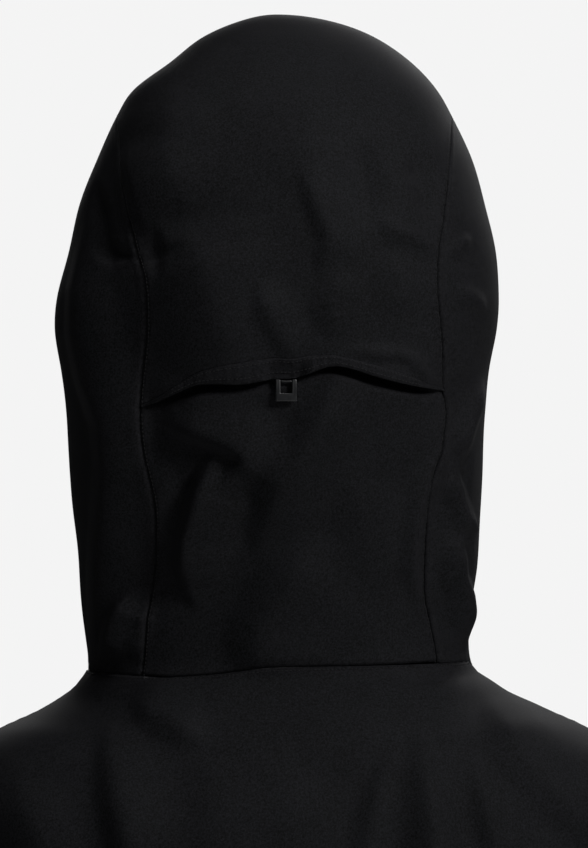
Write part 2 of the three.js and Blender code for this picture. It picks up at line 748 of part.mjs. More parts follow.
// A frame on the body's front surface: Z runs up the zip and Y points out of the jacket.
function surfaceFrame(x, z0, z1) {
  const spot = (across, z) => new THREE.Vector3(across, depthAt(across, z, 'front'), z);
  const ringShare = x / stationAt(z1).half;
  const low = spot(ringShare * stationAt(z0).half, z0);
  const high = spot(x, z1);
  const up = high.clone().sub(low).normalize();
  const round = spot(x + 4, z1).sub(spot(x - 4, z1));
  const out = new THREE.Vector3().crossVectors(up, round).normalize();
  const across = new THREE.Vector3().crossVectors(out, up).normalize();
  const frame = new THREE.Group();
  frame.applyMatrix4(new THREE.Matrix4().makeBasis(across, out, up));
  frame.position.copy(high);
  frame.updateMatrixWorld();
  group.add(frame);
  return frame;
}

function placed(solid, frame) {
  const geometry = toGeometry(solid);
  geometry.applyMatrix4(frame.matrix);
  return toSolid(geometry);
}

// Slider and pull, centred on the zip, scaled to its size. The pull turns on a barrel between two lugs.
function buildSlider(prefix, frame, along, size, plateTop) {
  const slider = new THREE.Group();
  slider.position.set(0, 0, along);
  frame.add(slider);
  const width = 4.6 * size;
  const half = 6 * size;
  const plate = 1.8;
  const low = plateTop + 0.4;
  const high = low + plate;
  const axle = high + 1.6;
  let body = block(-width, width, low, high, -half, half);
  body = body.add(block(-0.5, 0.5, -2.4, low + 0.2, -half + 1, half - 1));
  body = body.add(block(-width + 0.6, width - 0.6, -3.6, -2.2, -half, half));
  for (const x of [-2.9, 2.9]) {
    body = body.add(block(x - 0.6, x + 0.6, high - 0.2, axle + 1.3, -1.6, 1.6));
  }
  addSolid(`${prefix}_slider`, body, METAL_BLACK, slider);
  const pull = new THREE.Group();
  pull.position.set(0, axle, 0);
  slider.add(pull);
  const barrel = new THREE.CylinderGeometry(1, 1, 3.8, 12);
  barrel.rotateZ(Math.PI / 2);
  const neck = block(-1.9, 1.9, -0.6, 0.6, -4.4, 0);
  const grip = block(-2.8 * size, 2.8 * size, -0.9, 0.9, -30 * size, -4.2);
  addSolid(`${prefix}_pull`, toSolid(barrel).add(neck).add(grip), PLASTIC_GREY, pull);
}

const FRONT_LEAN = Math.atan(FRONT_SLOPE);
const ZIP_END = -FRONT_LENGTH / Math.cos(FRONT_LEAN) + 8;
const ZIP_TOP = COLLAR_TOP - 3;
const TAPE_TOP = -0.3;
const TAPE_LOW = -1.5;
const COIL_TOP = 1.1;

function buildMainZip() {
  const frame = new THREE.Group();
  frame.position.set(0, FRONT_AT_NECK, 0);
  frame.rotation.x = FRONT_LEAN;
  group.add(frame);
  for (const [name, side] of [['left', -1], ['right', 1]]) {
    const across = (width) => {
      const edges = [side * (ZIP_SLOT / 2), side * (ZIP_SLOT / 2 + width)];
      return [Math.min(...edges), Math.max(...edges)];
    };
    const tape = block(...across(ZIP_TAPE), TAPE_LOW, TAPE_TOP, ZIP_END, ZIP_TOP);
    const teeth = block(...across(ZIP_COIL), TAPE_TOP + GAP, COIL_TOP, ZIP_END + 12, ZIP_TOP - 4);
    addSolid(`zip_tape_${name}`, tape, TAPE_BLACK, frame);
    addSolid(`zip_coil_${name}`, teeth, COIL_BLACK, frame);
  }
  const box = block(-5, 5, TAPE_TOP + GAP, 3, ZIP_END, ZIP_END + 11);
  addSolid('zip_bottom_box', box, PLASTIC_GREY, frame);
  buildSlider('main_zip', frame, ZIP_TOP - 16, 1, COIL_TOP);

  buildFlap('zip_storm_flap', frame, STORM_FLAP_WIDTHS, [FLAP_SEAT, 0], [ZIP_END + 26, STORM_FLAP_TOP]);
  const guardWidths = [CHIN_GUARD_HALF_WIDTH, CHIN_GUARD_HALF_WIDTH];
  const guardSeats = [FLAP_SEAT + 2, FLAP_SEAT + 2];
  buildFlap('chin_guard', frame, guardWidths, guardSeats, [STORM_FLAP_TOP + 1, ZIP_TOP - 1]);
}

// A flap behind the zip, with raised edges where it is sewn on. Widths and seats are left, then right.
function buildFlap(name, frame, widths, seats, heights) {
  const [back, front, sewn] = [-6.6, -5.2, 0.5];
  let flap = block(-widths[0], widths[1], back, front + 0.01, ...heights);
  flap = flap.add(block(-widths[0], -widths[0] + seats[0], front, sewn, ...heights));
  if (seats[1]) {
    flap = flap.add(block(widths[1] - seats[1], widths[1], front, sewn, ...heights));
  }
  addSolid(name, placed(flap, liftedFrame(frame)).intersect(besideInside), LINING_GREY);
}

function liftedFrame(frame) {
  frame.updateMatrix();
  return frame;
}

// A closed pocket zip: one strip with a slot, its slider and its pull, and the cut that it needs.
function buildPocketZip(prefix, x, top, length) {
  const frame = surfaceFrame(x, top - length, top);
  const half = ZIP_SLOT / 2 + POCKET_TAPE;
  const strip = block(-half, half, TAPE_LOW - 0.2, TAPE_TOP - 0.2, -length, 0)
    .subtract(block(-ZIP_SLOT / 2, ZIP_SLOT / 2, -4, 4, -length + 6, -6));
  addSolid(`${prefix}_strip`, strip, TAPE_BLACK, frame);
  buildSlider(prefix, frame, -16, 0.82, TAPE_TOP);
  return placed(block(-half - GAP, half + GAP, -12, 12, -length - GAP, GAP), liftedFrame(frame));
}

// A flat pocket bag of two layers against the inside of the front.
function pocketBag(name, x0, x1, z0, z1) {
  const bag = band(FABRIC + GAP, FABRIC + GAP + 2.4).intersect(block(x0, x1, 0, FAR, z0, z1));
  addSolid(name, bag, LINING_GREY);
}

function buildHemEyelet(name, side) {
  const z = -FRONT_LENGTH + HEM_FACING / 2 - 2;
  const station = stationAt(z);
  const angle = THREE.MathUtils.degToRad(side > 0 ? 50 : 130);
  const spot = ringPoint(station, angle);
  const before = ringPoint(station, angle - 0.05);
  const round = spot.clone().sub(before).normalize();
  const out = new THREE.Vector3().crossVectors(round, new THREE.Vector3(0, 0, 1)).normalize();
  const thickness = 0.8;
  const [hole, rim] = [2.2, 4.6];
  const profile = [[hole, 0], [rim, 0], [rim, thickness], [hole, thickness], [hole, 0]];
  const eyelet = new THREE.LatheGeometry(profile.map(([r, h]) => new THREE.Vector2(r, h)), 20);
  const inward = FABRIC + GAP + FACING + 4.4 * GAP + thickness;
  const mesh = addPiece(name, eyelet, METAL_BLACK);
  mesh.quaternion.setFromUnitVectors(new THREE.Vector3(0, 1, 0), out);
  mesh.position.copy(spot.addScaledVector(out, -inward));
}

// ---- Assembly ----

buildHoodPanels();
buildSlitFacings();
buildFaceBinding();
buildBrim();
buildHoodAdjuster();
buildCordLock();
buildHangLoop();

const armHollows = [];
for (const [name, side] of [['left', -1], ['right', 1]]) {
  armHollows.push(buildSleeve(name, side));
  buildCuffTab(name, side);
  buildHemEyelet(`hem_eyelet_${name}`, side);
}

let front = buildBodyPanels(armHollows);
buildMainZip();
const zipCuts = [
  buildPocketZip('hand_zip_left', -HAND_ZIP_X, HAND_ZIP_TOP, HAND_ZIP_LENGTH),
  buildPocketZip('hand_zip_right', HAND_ZIP_X, HAND_ZIP_TOP, HAND_ZIP_LENGTH),
  buildPocketZip('chest_zip', -CHEST_ZIP_X, CHEST_ZIP_TOP, CHEST_ZIP_LENGTH),
];
for (const cut of zipCuts) {
  front = front.subtract(cut);
}
addSolid('front_left', front.intersect(block(-FAR, 0, -FAR, FAR, -3 * FAR, FAR)), SHELL_BLACK);
addSolid('front_right', front.intersect(block(0, FAR, -FAR, FAR, -3 * FAR, FAR)), SHELL_BLACK);
buildHemFacing();

const BAG_SIDE_GAP = POCKET_TAPE + 5;
const bagEdge = HAND_ZIP_X - BAG_SIDE_GAP;
const bagInner = 36;
const bagLow = HAND_ZIP_TOP - HAND_ZIP_LENGTH - 60;
pocketBag('hand_pocket_bag_left', -bagEdge, -bagInner, bagLow, HAND_ZIP_TOP + 10);
pocketBag('hand_pocket_bag_right', bagInner, bagEdge, bagLow, HAND_ZIP_TOP + 10);
const chestEdge = CHEST_ZIP_X + BAG_SIDE_GAP;
const chestLow = CHEST_ZIP_TOP - CHEST_ZIP_LENGTH - 20;
pocketBag('chest_pocket_bag', -chestEdge - 70, -chestEdge, chestLow, CHEST_ZIP_TOP + 8);

export default group;
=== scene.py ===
import json
import math

import bmesh
import bpy
import numpy as np
from mathutils import Matrix, Vector


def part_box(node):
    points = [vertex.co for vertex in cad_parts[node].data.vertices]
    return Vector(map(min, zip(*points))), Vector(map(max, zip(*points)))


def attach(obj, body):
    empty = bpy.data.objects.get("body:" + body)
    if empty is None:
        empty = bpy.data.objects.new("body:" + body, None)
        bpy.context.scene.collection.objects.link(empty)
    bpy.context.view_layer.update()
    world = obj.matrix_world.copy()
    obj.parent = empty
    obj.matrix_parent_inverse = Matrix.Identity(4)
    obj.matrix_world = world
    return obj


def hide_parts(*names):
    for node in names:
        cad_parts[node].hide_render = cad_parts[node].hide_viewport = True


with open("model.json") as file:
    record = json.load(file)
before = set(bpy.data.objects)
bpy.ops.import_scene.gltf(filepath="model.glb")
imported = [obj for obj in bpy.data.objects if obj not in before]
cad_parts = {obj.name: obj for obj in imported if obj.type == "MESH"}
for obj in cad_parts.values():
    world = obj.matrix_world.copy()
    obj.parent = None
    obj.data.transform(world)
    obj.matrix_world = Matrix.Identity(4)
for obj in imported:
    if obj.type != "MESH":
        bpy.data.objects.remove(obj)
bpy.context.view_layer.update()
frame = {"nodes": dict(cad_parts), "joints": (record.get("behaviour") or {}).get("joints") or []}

bl_info = {
    "name": "Hardshell Jacket",
    "version": (1, 0, 0),
    "blender": (4, 5, 0),
    "location": "3D View > Sidebar > Jacket",
    "description": "Builds the cloth, seams, zips and fittings of a hooded mountain jacket round its frame",
    "category": "Object",
}

JACKET = "jacket"                       # the body that everything fixed rides on
MM = 0.001

# ---- The worn shape, in millimetres: x to the wearer's right, y forward, z up from the neck seam ----

# Height, half width to the left and to the right, depth behind and in front of the neck axis.
OUTLINE = [
    (-775, 207, 207, 147, 153),
    (-560, 208, 208, 141, 140),
    (-360, 210, 210, 134, 127),
    (-160, 212, 212, 128, 114),
    (-112, 222, 224, 123, 111),
    (-78, 224, 227, 117, 109),
    (-58, 205, 216, 111, 107.7),
    (-38, 169, 187, 104, 106.4),
    (-27, 144, 158, 98, 105.7),
    (-14, 122, 133, 88, 104.9),
    (-4, 113.5, 119, 80.5, 104.3),
    (4, 114.5, 116, 78.5, 103.7),
    (30, 118.5, 115.5, 80, 102),
    (73, 122, 120.5, 88, 101),
    (117, 126.5, 123.5, 101, 102),
    (152, 128.5, 124.5, 111, 104),
    (178, 131, 127, 117, 106),
    (204, 135, 132, 121, 108),
    (221, 134, 133.5, 122.3, 109),
    (248, 127.3, 131.5, 122, 113),
    (277, 120.5, 125, 119, 117),
    (306, 109.5, 117, 111, 120),
    (331, 98.3, 105.5, 98, 121),
    (346, 89.5, 97, 86, 118),
    (364, 66, 80.5, 67, 103),
    (379, 47, 59.5, 46, 78),
    (390, 22, 31, 24, 42),
    (394, 0, 0, 0, 0),
]
POWER = 2.25                            # how square the level sections are
SEAM_LEFT = [(-20, -79), (0, -79), (32, -76), (60, -72), (97, -70), (131, -77), (163, -78.5), (200, -74.5),
             (229, -75.5), (243, -80.5), (267, -85.5), (297, -91), (331, -97.3)]
SEAM_RIGHT = [(-20, 97), (9, 94), (28, 90), (43, 86.5), (66, 86), (91, 87), (111, 88.5), (133, 95.5), (151, 98.3),
              (168, 96), (194, 95.5), (223, 92.5), (246, 93), (267, 96.6), (299, 100.7), (331, 104.4)]
CORNER = 331                            # height where the long seams meet the outline
# The slit lip's lower edge, and how tall the lip stands over it.
SLIT = [(-78, 156.5), (-66, 160.5), (-54, 165.5), (-44, 169.5), (-33, 170.6), (-21, 170), (-10, 171.2), (0, 172.6),
        (10, 173), (18, 175.5), (24, 178), (31, 179.7), (41, 178.3), (56, 174), (77, 169), (98, 165.6)]
LIP_HEIGHT = [(-78, 0.4), (-66, 2.2), (-51, 5.8), (-37, 8.4), (-21, 11.6), (0, 11), (17, 9.4), (27, 6.2), (41, 5),
              (56, 5.6), (70, 4.8), (84, 2.8), (98, 0.4)]
EDGE_STITCH = 1.7                       # from a seam to its row of stitches
BAG_TUCK = 0.0025                       # how far the bags hang back from the fronts, in metres
CHEST_BAG_SHIFT = 0.005                 # how far the chest bag lies in from the armhole, in metres
HEM_TUCK = 0.988                        # the hem facing's girth as a share of the cloth's
SLIT_TUCK = 9                           # how far the nape panel runs up behind the lip
FACE = (58, 318, 79)                    # foot, brow and half width of the face opening
ZIP_HALF = 15.4
COLLAR_SEAM = (76, 35)                  # height and depth of the collar's seams
HEM = (-715, -745)                      # front and back
ARM_SLOPE = math.tan(math.radians(12))
# Outer edge x, z; inner edge x, z; half depth; middle in y: from inside the shoulder to the elbow.
ARM = [
    (180, -50, 166, -250, 78, 0),
    (236, -73, 196, -282, 80, 0),
    (272, -98, 206, -302, 79, 0),
    (304, -148, 218, -322, 77, 0),
    (326, -214, 227, -344, 74, 0),
    (341, -294, 234, -370, 71, 2),
    (352, -370, 242, -402, 69, 5),
]
FOREARM = [(0.25, 55, 64, 11), (0.5, 52, 59, 18), (0.75, 49, 54, 26), (1.0, 46, 49, 33)]
SLEEVE_LENGTH = 640
CUFF_LENGTH = 38
SHOULDER_DROP = 78
ARM_SEAM = math.acos(-0.28)             # the angle of the sleeve's lengthwise seams
ARM_RADIUS = 66                         # a sleeve laid flat: its middle radius and its girth
ARM_GIRTH = 415
ARM_SEED = {-1: 11, 1: 12}              # the folds of the left and the right sleeve
SIDE_TOP = -205.0                       # where the side panels end under the arms
HEM_STITCH = 18.0                       # from the hem and from the zip to their rows of stitches
ZIP_STITCH = 5.0
HOOD_COLUMNS = 84                       # cells across each hood panel
BACK_MESH = (170, 3.6)                  # cells across a body panel, and how far apart its rows are
FRONT_MESH = (90, 4.4)
SIDE_COLUMNS = 28
SIDE_STEP = 5.0
SIDES = (("left", -1), ("right", 1))
POCKET_ZIPS = ("hand_zip_left", "hand_zip_right", "chest_zip")


# ---- Sizes and colours a user would change ----

def length(name, description, value):
    return bpy.props.FloatProperty(name=name, description=description, default=value, subtype="DISTANCE",
                                   unit="LENGTH")


def colour(name, description, value):
    return bpy.props.FloatVectorProperty(name=name, description=description, default=value, subtype="COLOR",
                                         size=3, min=0.0, max=1.0)


class JacketSizes(bpy.types.PropertyGroup):
    cloth: length("Cloth", "Thickness of the shell laminate", 0.0007)
    facing: length("Facing", "Thickness of facings and flaps", 0.0009)
    stitch: length("Stitch", "Distance from one stitch to the next", 0.0024)
    tooth: length("Tooth", "Distance from one zip tooth to the next", 0.0024)
    mesh: length("Mesh step", "Spacing of the hood's mesh", 0.0022)


class JacketColours(bpy.types.PropertyGroup):
    shell: colour("Shell", "Face of the laminate", (0.0084, 0.0085, 0.0097))
    lining: colour("Lining", "Facings and inside", (0.017, 0.018, 0.021))
    thread: colour("Thread", "Sewing thread", (0.0085, 0.0085, 0.0095))
    plastic: colour("Plastic", "Moulded fittings", (0.012, 0.0125, 0.0135))


def sizes():
    return bpy.context.scene.jacket_sizes


def colours():
    return bpy.context.scene.jacket_colours


# ---- Curves and surfaces ----

def through(points, per_span, mirrored_end=False):
    """A smooth line through the points, as rows."""
    rows = np.array(points, float)
    first = 2 * rows[0] - rows[1]
    last = rows[-2] * np.array([1, -1, -1, -1, -1]) if mirrored_end else 2 * rows[-1] - rows[-2]
    rows = np.vstack([first, rows, last])
    gaps = np.sqrt(np.linalg.norm(np.diff(rows, axis=0), axis=1))
    out = []
    for i in range(1, len(rows) - 2):
        a, b, c, d = rows[i - 1:i + 3]
        p, q, r = gaps[i - 1:i + 2]
        m1 = q * ((b - a) / p - (c - a) / (p + q) + (c - b) / q)
        m2 = q * ((c - b) / q - (d - b) / (q + r) + (d - c) / r)
        u = np.linspace(0, 1, per_span, endpoint=False)[:, None]
        out.append((2 * u ** 3 - 3 * u ** 2 + 1) * b + (u ** 3 - 2 * u ** 2 + u) * m1
                   + (3 * u ** 2 - 2 * u ** 3) * c + (u ** 3 - u ** 2) * m2)
    return np.vstack(out + [rows[-2:-1]])


PROFILE = through(OUTLINE, 24, mirrored_end=True)
RISE = np.concatenate([[0], np.cumsum(np.hypot(np.diff(PROFILE[:, 0]), np.diff(PROFILE[:, 1])))])


def smooth_line(points):
    line = through(points, 12)
    return line[:, 0], line[:, 1]


SEAM_LINES = {"left": smooth_line(SEAM_LEFT), "right": smooth_line(SEAM_RIGHT)}
SLIT_LINE = smooth_line(SLIT)
LIP_LINE = smooth_line(LIP_HEIGHT)


def along(z):
    """The distance up the outline at a height."""
    return np.interp(z, PROFILE[:, 0], RISE)


def station(t):
    return [np.interp(t, RISE, PROFILE[:, k]) for k in range(5)]


def body_point(turn, t):
    """A place on the plain outline: turn goes round from the middle of the back, t up the outline."""
    z, left, right, back, front = station(t)
    side, deep = np.sin(turn), np.cos(turn)
    x = np.sign(side) * np.abs(side) ** (2 / POWER) * np.where(side > 0, right, left)
    y = -np.sign(deep) * np.abs(deep) ** (2 / POWER) * np.where(deep > 0, back, front)
    return np.stack([x, y, z + 0 * x], axis=-1)


def turn_at_x(x, t, front=False):
    _, left, right, _, _ = station(t)
    share = np.clip(np.abs(x) / np.where(np.asarray(x) > 0, right, left), 0, 0.985)
    angle = np.arcsin(share ** (POWER / 2)) * np.sign(x)
    return np.sign(x) * (math.pi - np.abs(angle)) if front else angle


def turn_at_y(y, t, side):
    _, _, _, back, front = station(t)
    share = np.clip(np.abs(y) / np.where(np.asarray(y) < 0, back, front), 0, 1) ** (POWER / 2)
    return side * np.where(np.asarray(y) < 0, np.arccos(share), math.pi - np.arccos(share))


def normals(points, wrap=False):
    if wrap:
        round_ = np.roll(points, -1, axis=1) - np.roll(points, 1, axis=1)
    else:
        round_ = np.gradient(points, axis=1)
    up = np.gradient(points, axis=0)
    out = np.cross(round_, up)
    return out / np.maximum(np.linalg.norm(out, axis=-1, keepdims=True), 1e-9)


def ease(low, high, value):
    u = np.clip((value - low) / (high - low), 0, 1)
    return u * u * (3 - 2 * u)


# ---- Folds ----

def fold(u, v, path, left, right, height, fade=0.35):
    """A crease ridge along a path in a flat view: flat flanks fall off over left and right on either side."""
    path = np.array(path, float)
    steps = np.linalg.norm(np.diff(path, axis=0), axis=1)
    total = steps.sum()
    best = np.full(u.shape, 1e9)
    place = np.zeros(u.shape)
    sign = np.ones(u.shape)
    done = 0.0
    for a, b, step in zip(path[:-1], path[1:], steps):
        d = (b - a) / step
        s = np.clip((u - a[0]) * d[0] + (v - a[1]) * d[1], 0, step)
        du, dv = u - a[0] - s * d[0], v - a[1] - s * d[1]
        gap = np.hypot(du, dv)
        near = gap < best
        best = np.where(near, gap, best)
        place = np.where(near, (done + s) / total, place)
        sign = np.where(near, np.sign(d[0] * dv - d[1] * du), sign)
        done += step
    ends = ease(0, fade, place) * ease(0, fade, 1 - place)
    share = best / (np.where(sign > 0, left, right) * (0.12 + 0.88 * np.sqrt(ends)))
    slope = 1.1 - np.sqrt(share ** 2 + 0.0144)
    profile = 0.5 * (slope + np.sqrt(slope ** 2 + 0.016)) - 0.004 / (share + 1.0)
    return height * np.maximum(profile, 0) * ends


def ripple(u, v, seed, sizes_):
    """Soft unevenness: a fixed sum of waves."""
    rng = np.random.default_rng(seed)
    total = np.zeros(u.shape)
    for size, depth in sizes_:
        for _ in range(5):
            a, phase = rng.uniform(0, 2 * math.pi, 2)
            total += depth * np.sin((u * math.cos(a) + v * math.sin(a)) * 2 * math.pi / size + phase)
    return total / 2.2


# Ridges behind, in x and z: the path, how far each flank reaches to the path's left and right, the height.
HOOD_FOLDS = [
    # the left side's turned-away strip and the crumple at its foot
    ([(-108, 286), (-113, 250), (-115, 225), (-113, 200), (-106, 172), (-98, 148), (-96, 122), (-98, 92), (-101, 60),
      (-103, 28), (-106, -40)], 24, 13, 10.0),
    ([(-80, 52), (-88, 40), (-93, 30), (-96, 18), (-104, 4)], 14, 6, 7.0),
    ([(-72, 46), (-79, 28), (-86, 4)], 6, 5, 2.4),
    # the hooked fold and the deep one below it
    ([(-74, 148), (-60, 146.5), (-49, 144), (-38, 140.5), (-27, 136), (-20, 131), (-19, 126), (-24, 119), (-36, 106)],
     24, 9, 9.5),
    ([(-30, 138), (-38, 122), (-44, 108), (-48, 94), (-52, 81), (-53, 67), (-51, 50), (-46, 34)], 26, 9, 12.0),
    ([(-70, 132), (-66, 108), (-68, 84), (-72, 60)], 10, 14, 2.6),
    ([(44, 186), (34, 166), (20, 142), (8, 122), (-1, 104), (-9, 84), (-14, 62)], 30, 13, 7.5),
    ([(26, 92), (14, 70), (7, 56), (0, 44), (-9, 27), (-14, 4), (-16, -20)], 44, 20, 8.0),
    # beside the right seam
    ([(97, 140), (87, 118), (82, 101), (79.5, 84), (78, 63), (81, 46), (84, 26)], 6, 8, 4.0),
    ([(100, 146), (96, 126), (93, 110), (90.5, 94)], 4, 3.5, 2.6),
    ([(122, 176), (114, 155), (109, 140), (105, 118)], 7, 8, 6.5),
    ([(102, 126), (104.5, 105), (108, 91), (119, 76)], 6, 8, 6.5),
    ([(108, 96), (104, 74), (105, 57), (108.5, 44), (110.5, 30), (112, 6)], 6, 10, 8.5),
    # the crown's facets and creases
    ([(-88, 314), (-82, 288), (-77, 268), (-72, 250)], 34, 12, 4.2),
    ([(-50, 268), (-42, 247), (-39, 228), (-34, 208), (-24, 186), (-16, 168)], 44, 38, 9.0),
    ([(-78, 252), (-60, 250), (-40, 249)], 12, 8, 2.4),
    ([(-108, 292), (-104, 266), (-102, 249), (-96, 242), (-82, 243)], 7, 6, -5.0),
    ([(-99, 250), (-92, 245), (-82, 241.5)], 3.5, 3, -2.8),
    ([(-72, 262), (-69, 246), (-68, 226)], 6, 6, -2.0),
    ([(12, 296), (25, 263), (30, 251), (27, 243), (22, 226)], 18, 8, 4.2),
    ([(-12, 232), (-6, 212), (4, 192), (10, 176)], 16, 8, 3.6),
    ([(38, 240), (30, 214), (34, 192)], 18, 12, 2.6),
    ([(44, 316), (48, 296), (52, 276), (50, 256)], 12, 9, -4.0),
    ([(76, 310), (82, 292), (88, 272), (88, 256)], 10, 9, -4.0),
    ([(58, 268), (68, 257), (78, 255), (84, 250), (94, 245)], 5, 10, 3.6),
    ([(96, 243), (114, 257)], 5, 5, 2.6),
    ([(102, 227), (124, 212)], 7, 7, 3.0),
    ([(-60, 350), (-62, 300), (-50, 262)], 26, 28, 4.2),
    ([(24, 356), (17, 305), (24, 270)], 26, 28, 3.4),
    ([(60, 246), (72, 226), (70, 204)], 16, 16, 2.6),
    ([(36, 188), (56, 187), (70, 186.5), (77, 183), (81, 178), (88, 172), (97, 167)], 5, 4, 3.2),
    ([(118, 140), (113, 108), (114, 60), (110, 14)], 8, 6, 2.4),
    ([(40, 120), (52, 84), (50, 40)], 22, 20, 2.4),
]
YOKE_FOLDS = [
    ([(-102, -20), (-95, -50), (-89, -75), (-83, -98), (-80, -170)], 30, 14, 9.5),
    ([(-90, -15), (-62, -27), (-38, -39)], 18, 10, 5.2),
    ([(-40, -40), (-34, -90), (-40, -170)], 30, 34, 4.0),
    ([(70, -34), (58, -62), (50, -96), (46, -170)], 18, 9, 6.0),
    ([(82, -22), (84, -52), (86, -76), (89, -100), (92, -190)], 16, 18, 12.0),
    ([(110, -38), (118, -72), (126, -104), (130, -170)], 14, 8, 5.0),
    ([(118, -8), (138, -44), (164, -72), (190, -104)], 34, 14, 7.0),
    ([(-160, -44), (-132, -100), (-122, -190)], 22, 24, 6.0),
    ([(0, -34), (6, -110), (0, -220)], 34, 34, 4.0),
]
BODY_FOLDS = [
    ([(-190, -270), (-150, -325), (-84, -392)], 16, 22, 9.0),
    ([(190, -275), (150, -340), (90, -412)], 22, 16, 9.0),
    ([(-184, -320), (-130, -420), (-98, -560)], 24, 28, 9.0),
    ([(188, -330), (140, -440), (108, -580)], 26, 22, 9.0),
    ([(-64, -250), (-46, -420), (-62, -660)], 28, 36, 8.0),
    ([(44, -220), (54, -400), (42, -680)], 36, 28, 8.0),
    ([(-134, -540), (-124, -650), (-134, -790)], 22, 22, 8.0),
    ([(132, -520), (136, -640), (124, -790)], 20, 24, 8.0),
    ([(0, -520), (-8, -640), (6, -790)], 26, 26, 7.0),
    ([(-180, -474), (-100, -502), (-24, -480)], 14, 20, 5.5),
    ([(180, -494), (110, -524), (30, -502)], 20, 14, 5.5),
    ([(-176, -600), (-110, -620), (-40, -596)], 12, 18, 4.0),
    ([(170, -620), (100, -640), (44, -618)], 18, 12, 4.0),
    ([(176, -180), (130, -214), (96, -270)], 14, 18, 6.0),
    ([(-176, -176), (-136, -216), (-100, -276)], 18, 14, 6.0),
]


def zip_span(z, low, high):
    """1 over the heights of a pocket zip, falling away past its ends."""
    return ease(low - 30, low, z) * ease(0, 30, high + 30 - z)


def relief(points):
    """How far the cloth stands off the plain outline, outward."""
    x, y, z = points[..., 0], points[..., 1], points[..., 2]
    behind = ease(-30, 10, -y)
    ahead = 1 - behind
    hood = ease(-6, 10, z)
    total = np.zeros(x.shape)
    for path, left, right, height in HOOD_FOLDS:
        total += hood * behind * fold(x, z, path, left, right, height)
    for path, left, right, height in YOKE_FOLDS:
        total += (1 - hood) * behind * fold(x, z, path, left, right, height)
    for path, left, right, height in BODY_FOLDS:
        total += behind * fold(x, z, path, left, right, height)
        calm = ease(26, 60, np.abs(x)) * ease(16, 42, np.abs(np.abs(x) - 127) + 60 * (1 - zip_span(z, -640, -370)))
        calm *= ease(16, 40, np.hypot(x + 84, 0) + 60 * (1 - zip_span(z, -350, -150)))
        total += 0.9 * ahead * calm * fold(-x, z, path, left, right, height)
    uneven = ripple(x + 0.7 * y, z, 3, [(95, 0.7), (46, 0.3)])
    total += uneven * (0.35 + 0.65 * (1 - hood)) * ease(18, 60, np.abs(x) + 60 * behind)
    # the yoke's roll under the neck seam
    total += 1.8 * behind * np.exp(-((z + 9) / 6) ** 2)
    return total


def settled(turn, t, offset=0.0):
    """The worn surface, with its folds, moved outward by an offset."""
    plain = body_point(turn, t)
    step = 0.01
    round_ = body_point(turn + step, t) - body_point(turn - step, t)
    up = body_point(turn, np.minimum(t + 1.0, RISE[-1])) - body_point(turn, t - 1.0)
    out = np.cross(round_, up)
    out /= np.maximum(np.linalg.norm(out, axis=-1, keepdims=True), 1e-9)
    lift = relief(plain) + offset
    return plain + out * lift[..., None]


def settled_line(x, z, offset):
    """A line behind, given by its x and height, on the worn surface moved outward by an offset."""
    t = along(z)
    return settled(turn_at_x(x, t), t, offset)


def seam_profile(distance, place, stitched):
    """Height of the cloth near a seam: a dip at the join, the allowance's swell and slight puckers."""
    dip = -0.6 * np.exp(-(distance / 0.9) ** 2)
    swell = 0.38 * np.exp(-((distance - 2.4) / 1.5) ** 2) if stitched else 0
    pucker = 0.16 * np.exp(-(distance / 6) ** 2) * np.sin(place * 2 * math.pi / 8.5 + 2.0 * np.sin(place / 21))
    return dip + swell + pucker


def edge_distances(points):
    """Arc distance of each grid point from the left, right, low and high edges."""
    across = np.linalg.norm(np.diff(points, axis=1), axis=-1)
    upward = np.linalg.norm(np.diff(points, axis=0), axis=-1)
    left = np.concatenate([np.zeros((len(points), 1)), np.cumsum(across, axis=1)], axis=1)
    low = np.concatenate([np.zeros((1, points.shape[1])), np.cumsum(upward, axis=0)], axis=0)
    return {"left": left, "right": left[:, -1:] - left, "low": low, "high": low[-1:] - low}


def with_seams(points, seams):
    """The grid with its seamed edges rolled in. seams maps an edge to whether it is topstitched."""
    far = edge_distances(points)
    lift = np.zeros(points.shape[:2])
    for edge, stitched in seams.items():
        place = far["low"] if edge in ("left", "right") else far["left"]
        lift += seam_profile(far[edge], place, stitched)
    return points + normals(points) * lift[..., None]


def line_beside(points, edge, distance, lift=0.1):
    """The line on a grid that runs at a distance from one of its edges, just above the cloth."""
    far = edge_distances(points)[edge]
    raised = points + normals(points) * lift
    if edge in ("low", "high"):
        far, raised = far.T, np.swapaxes(raised, 0, 1)
    if edge in ("right", "high"):
        far, raised = far[:, ::-1], raised[:, ::-1]
    rows = [[np.interp(distance, far[i], raised[i, :, k]) for k in range(3)] for i in range(len(far))]
    return np.array(rows)


# ---- Meshes ----

def link(name, mesh):
    obj = bpy.data.objects.new(name, mesh)
    bpy.context.scene.collection.objects.link(obj)
    return obj


def mesh_object(name, vertices, faces, smooth=True):
    """A mesh from points in millimetres."""
    mesh = bpy.data.meshes.new(name)
    mesh.from_pydata([tuple(v) for v in np.asarray(vertices) * MM], [], faces)
    mesh.polygons.foreach_set("use_smooth", [smooth] * len(mesh.polygons))
    mesh.update()
    return link(name, mesh)


def grid_object(name, points, wrap=False, keep=None):
    """An open sheet from a grid of points; keep chooses which of its cells are cloth."""
    rows, cols = points.shape[:2]
    cells = cols if wrap else cols - 1
    faces = []
    for i in range(rows - 1):
        for j in range(cells):
            if keep is None or keep[i, j]:
                k = (j + 1) % cols
                faces.append((i * cols + j, i * cols + k, (i + 1) * cols + k, (i + 1) * cols + j))
    obj = mesh_object(name, points.reshape(-1, 3), faces)
    merge(obj, 0.00002)
    return obj


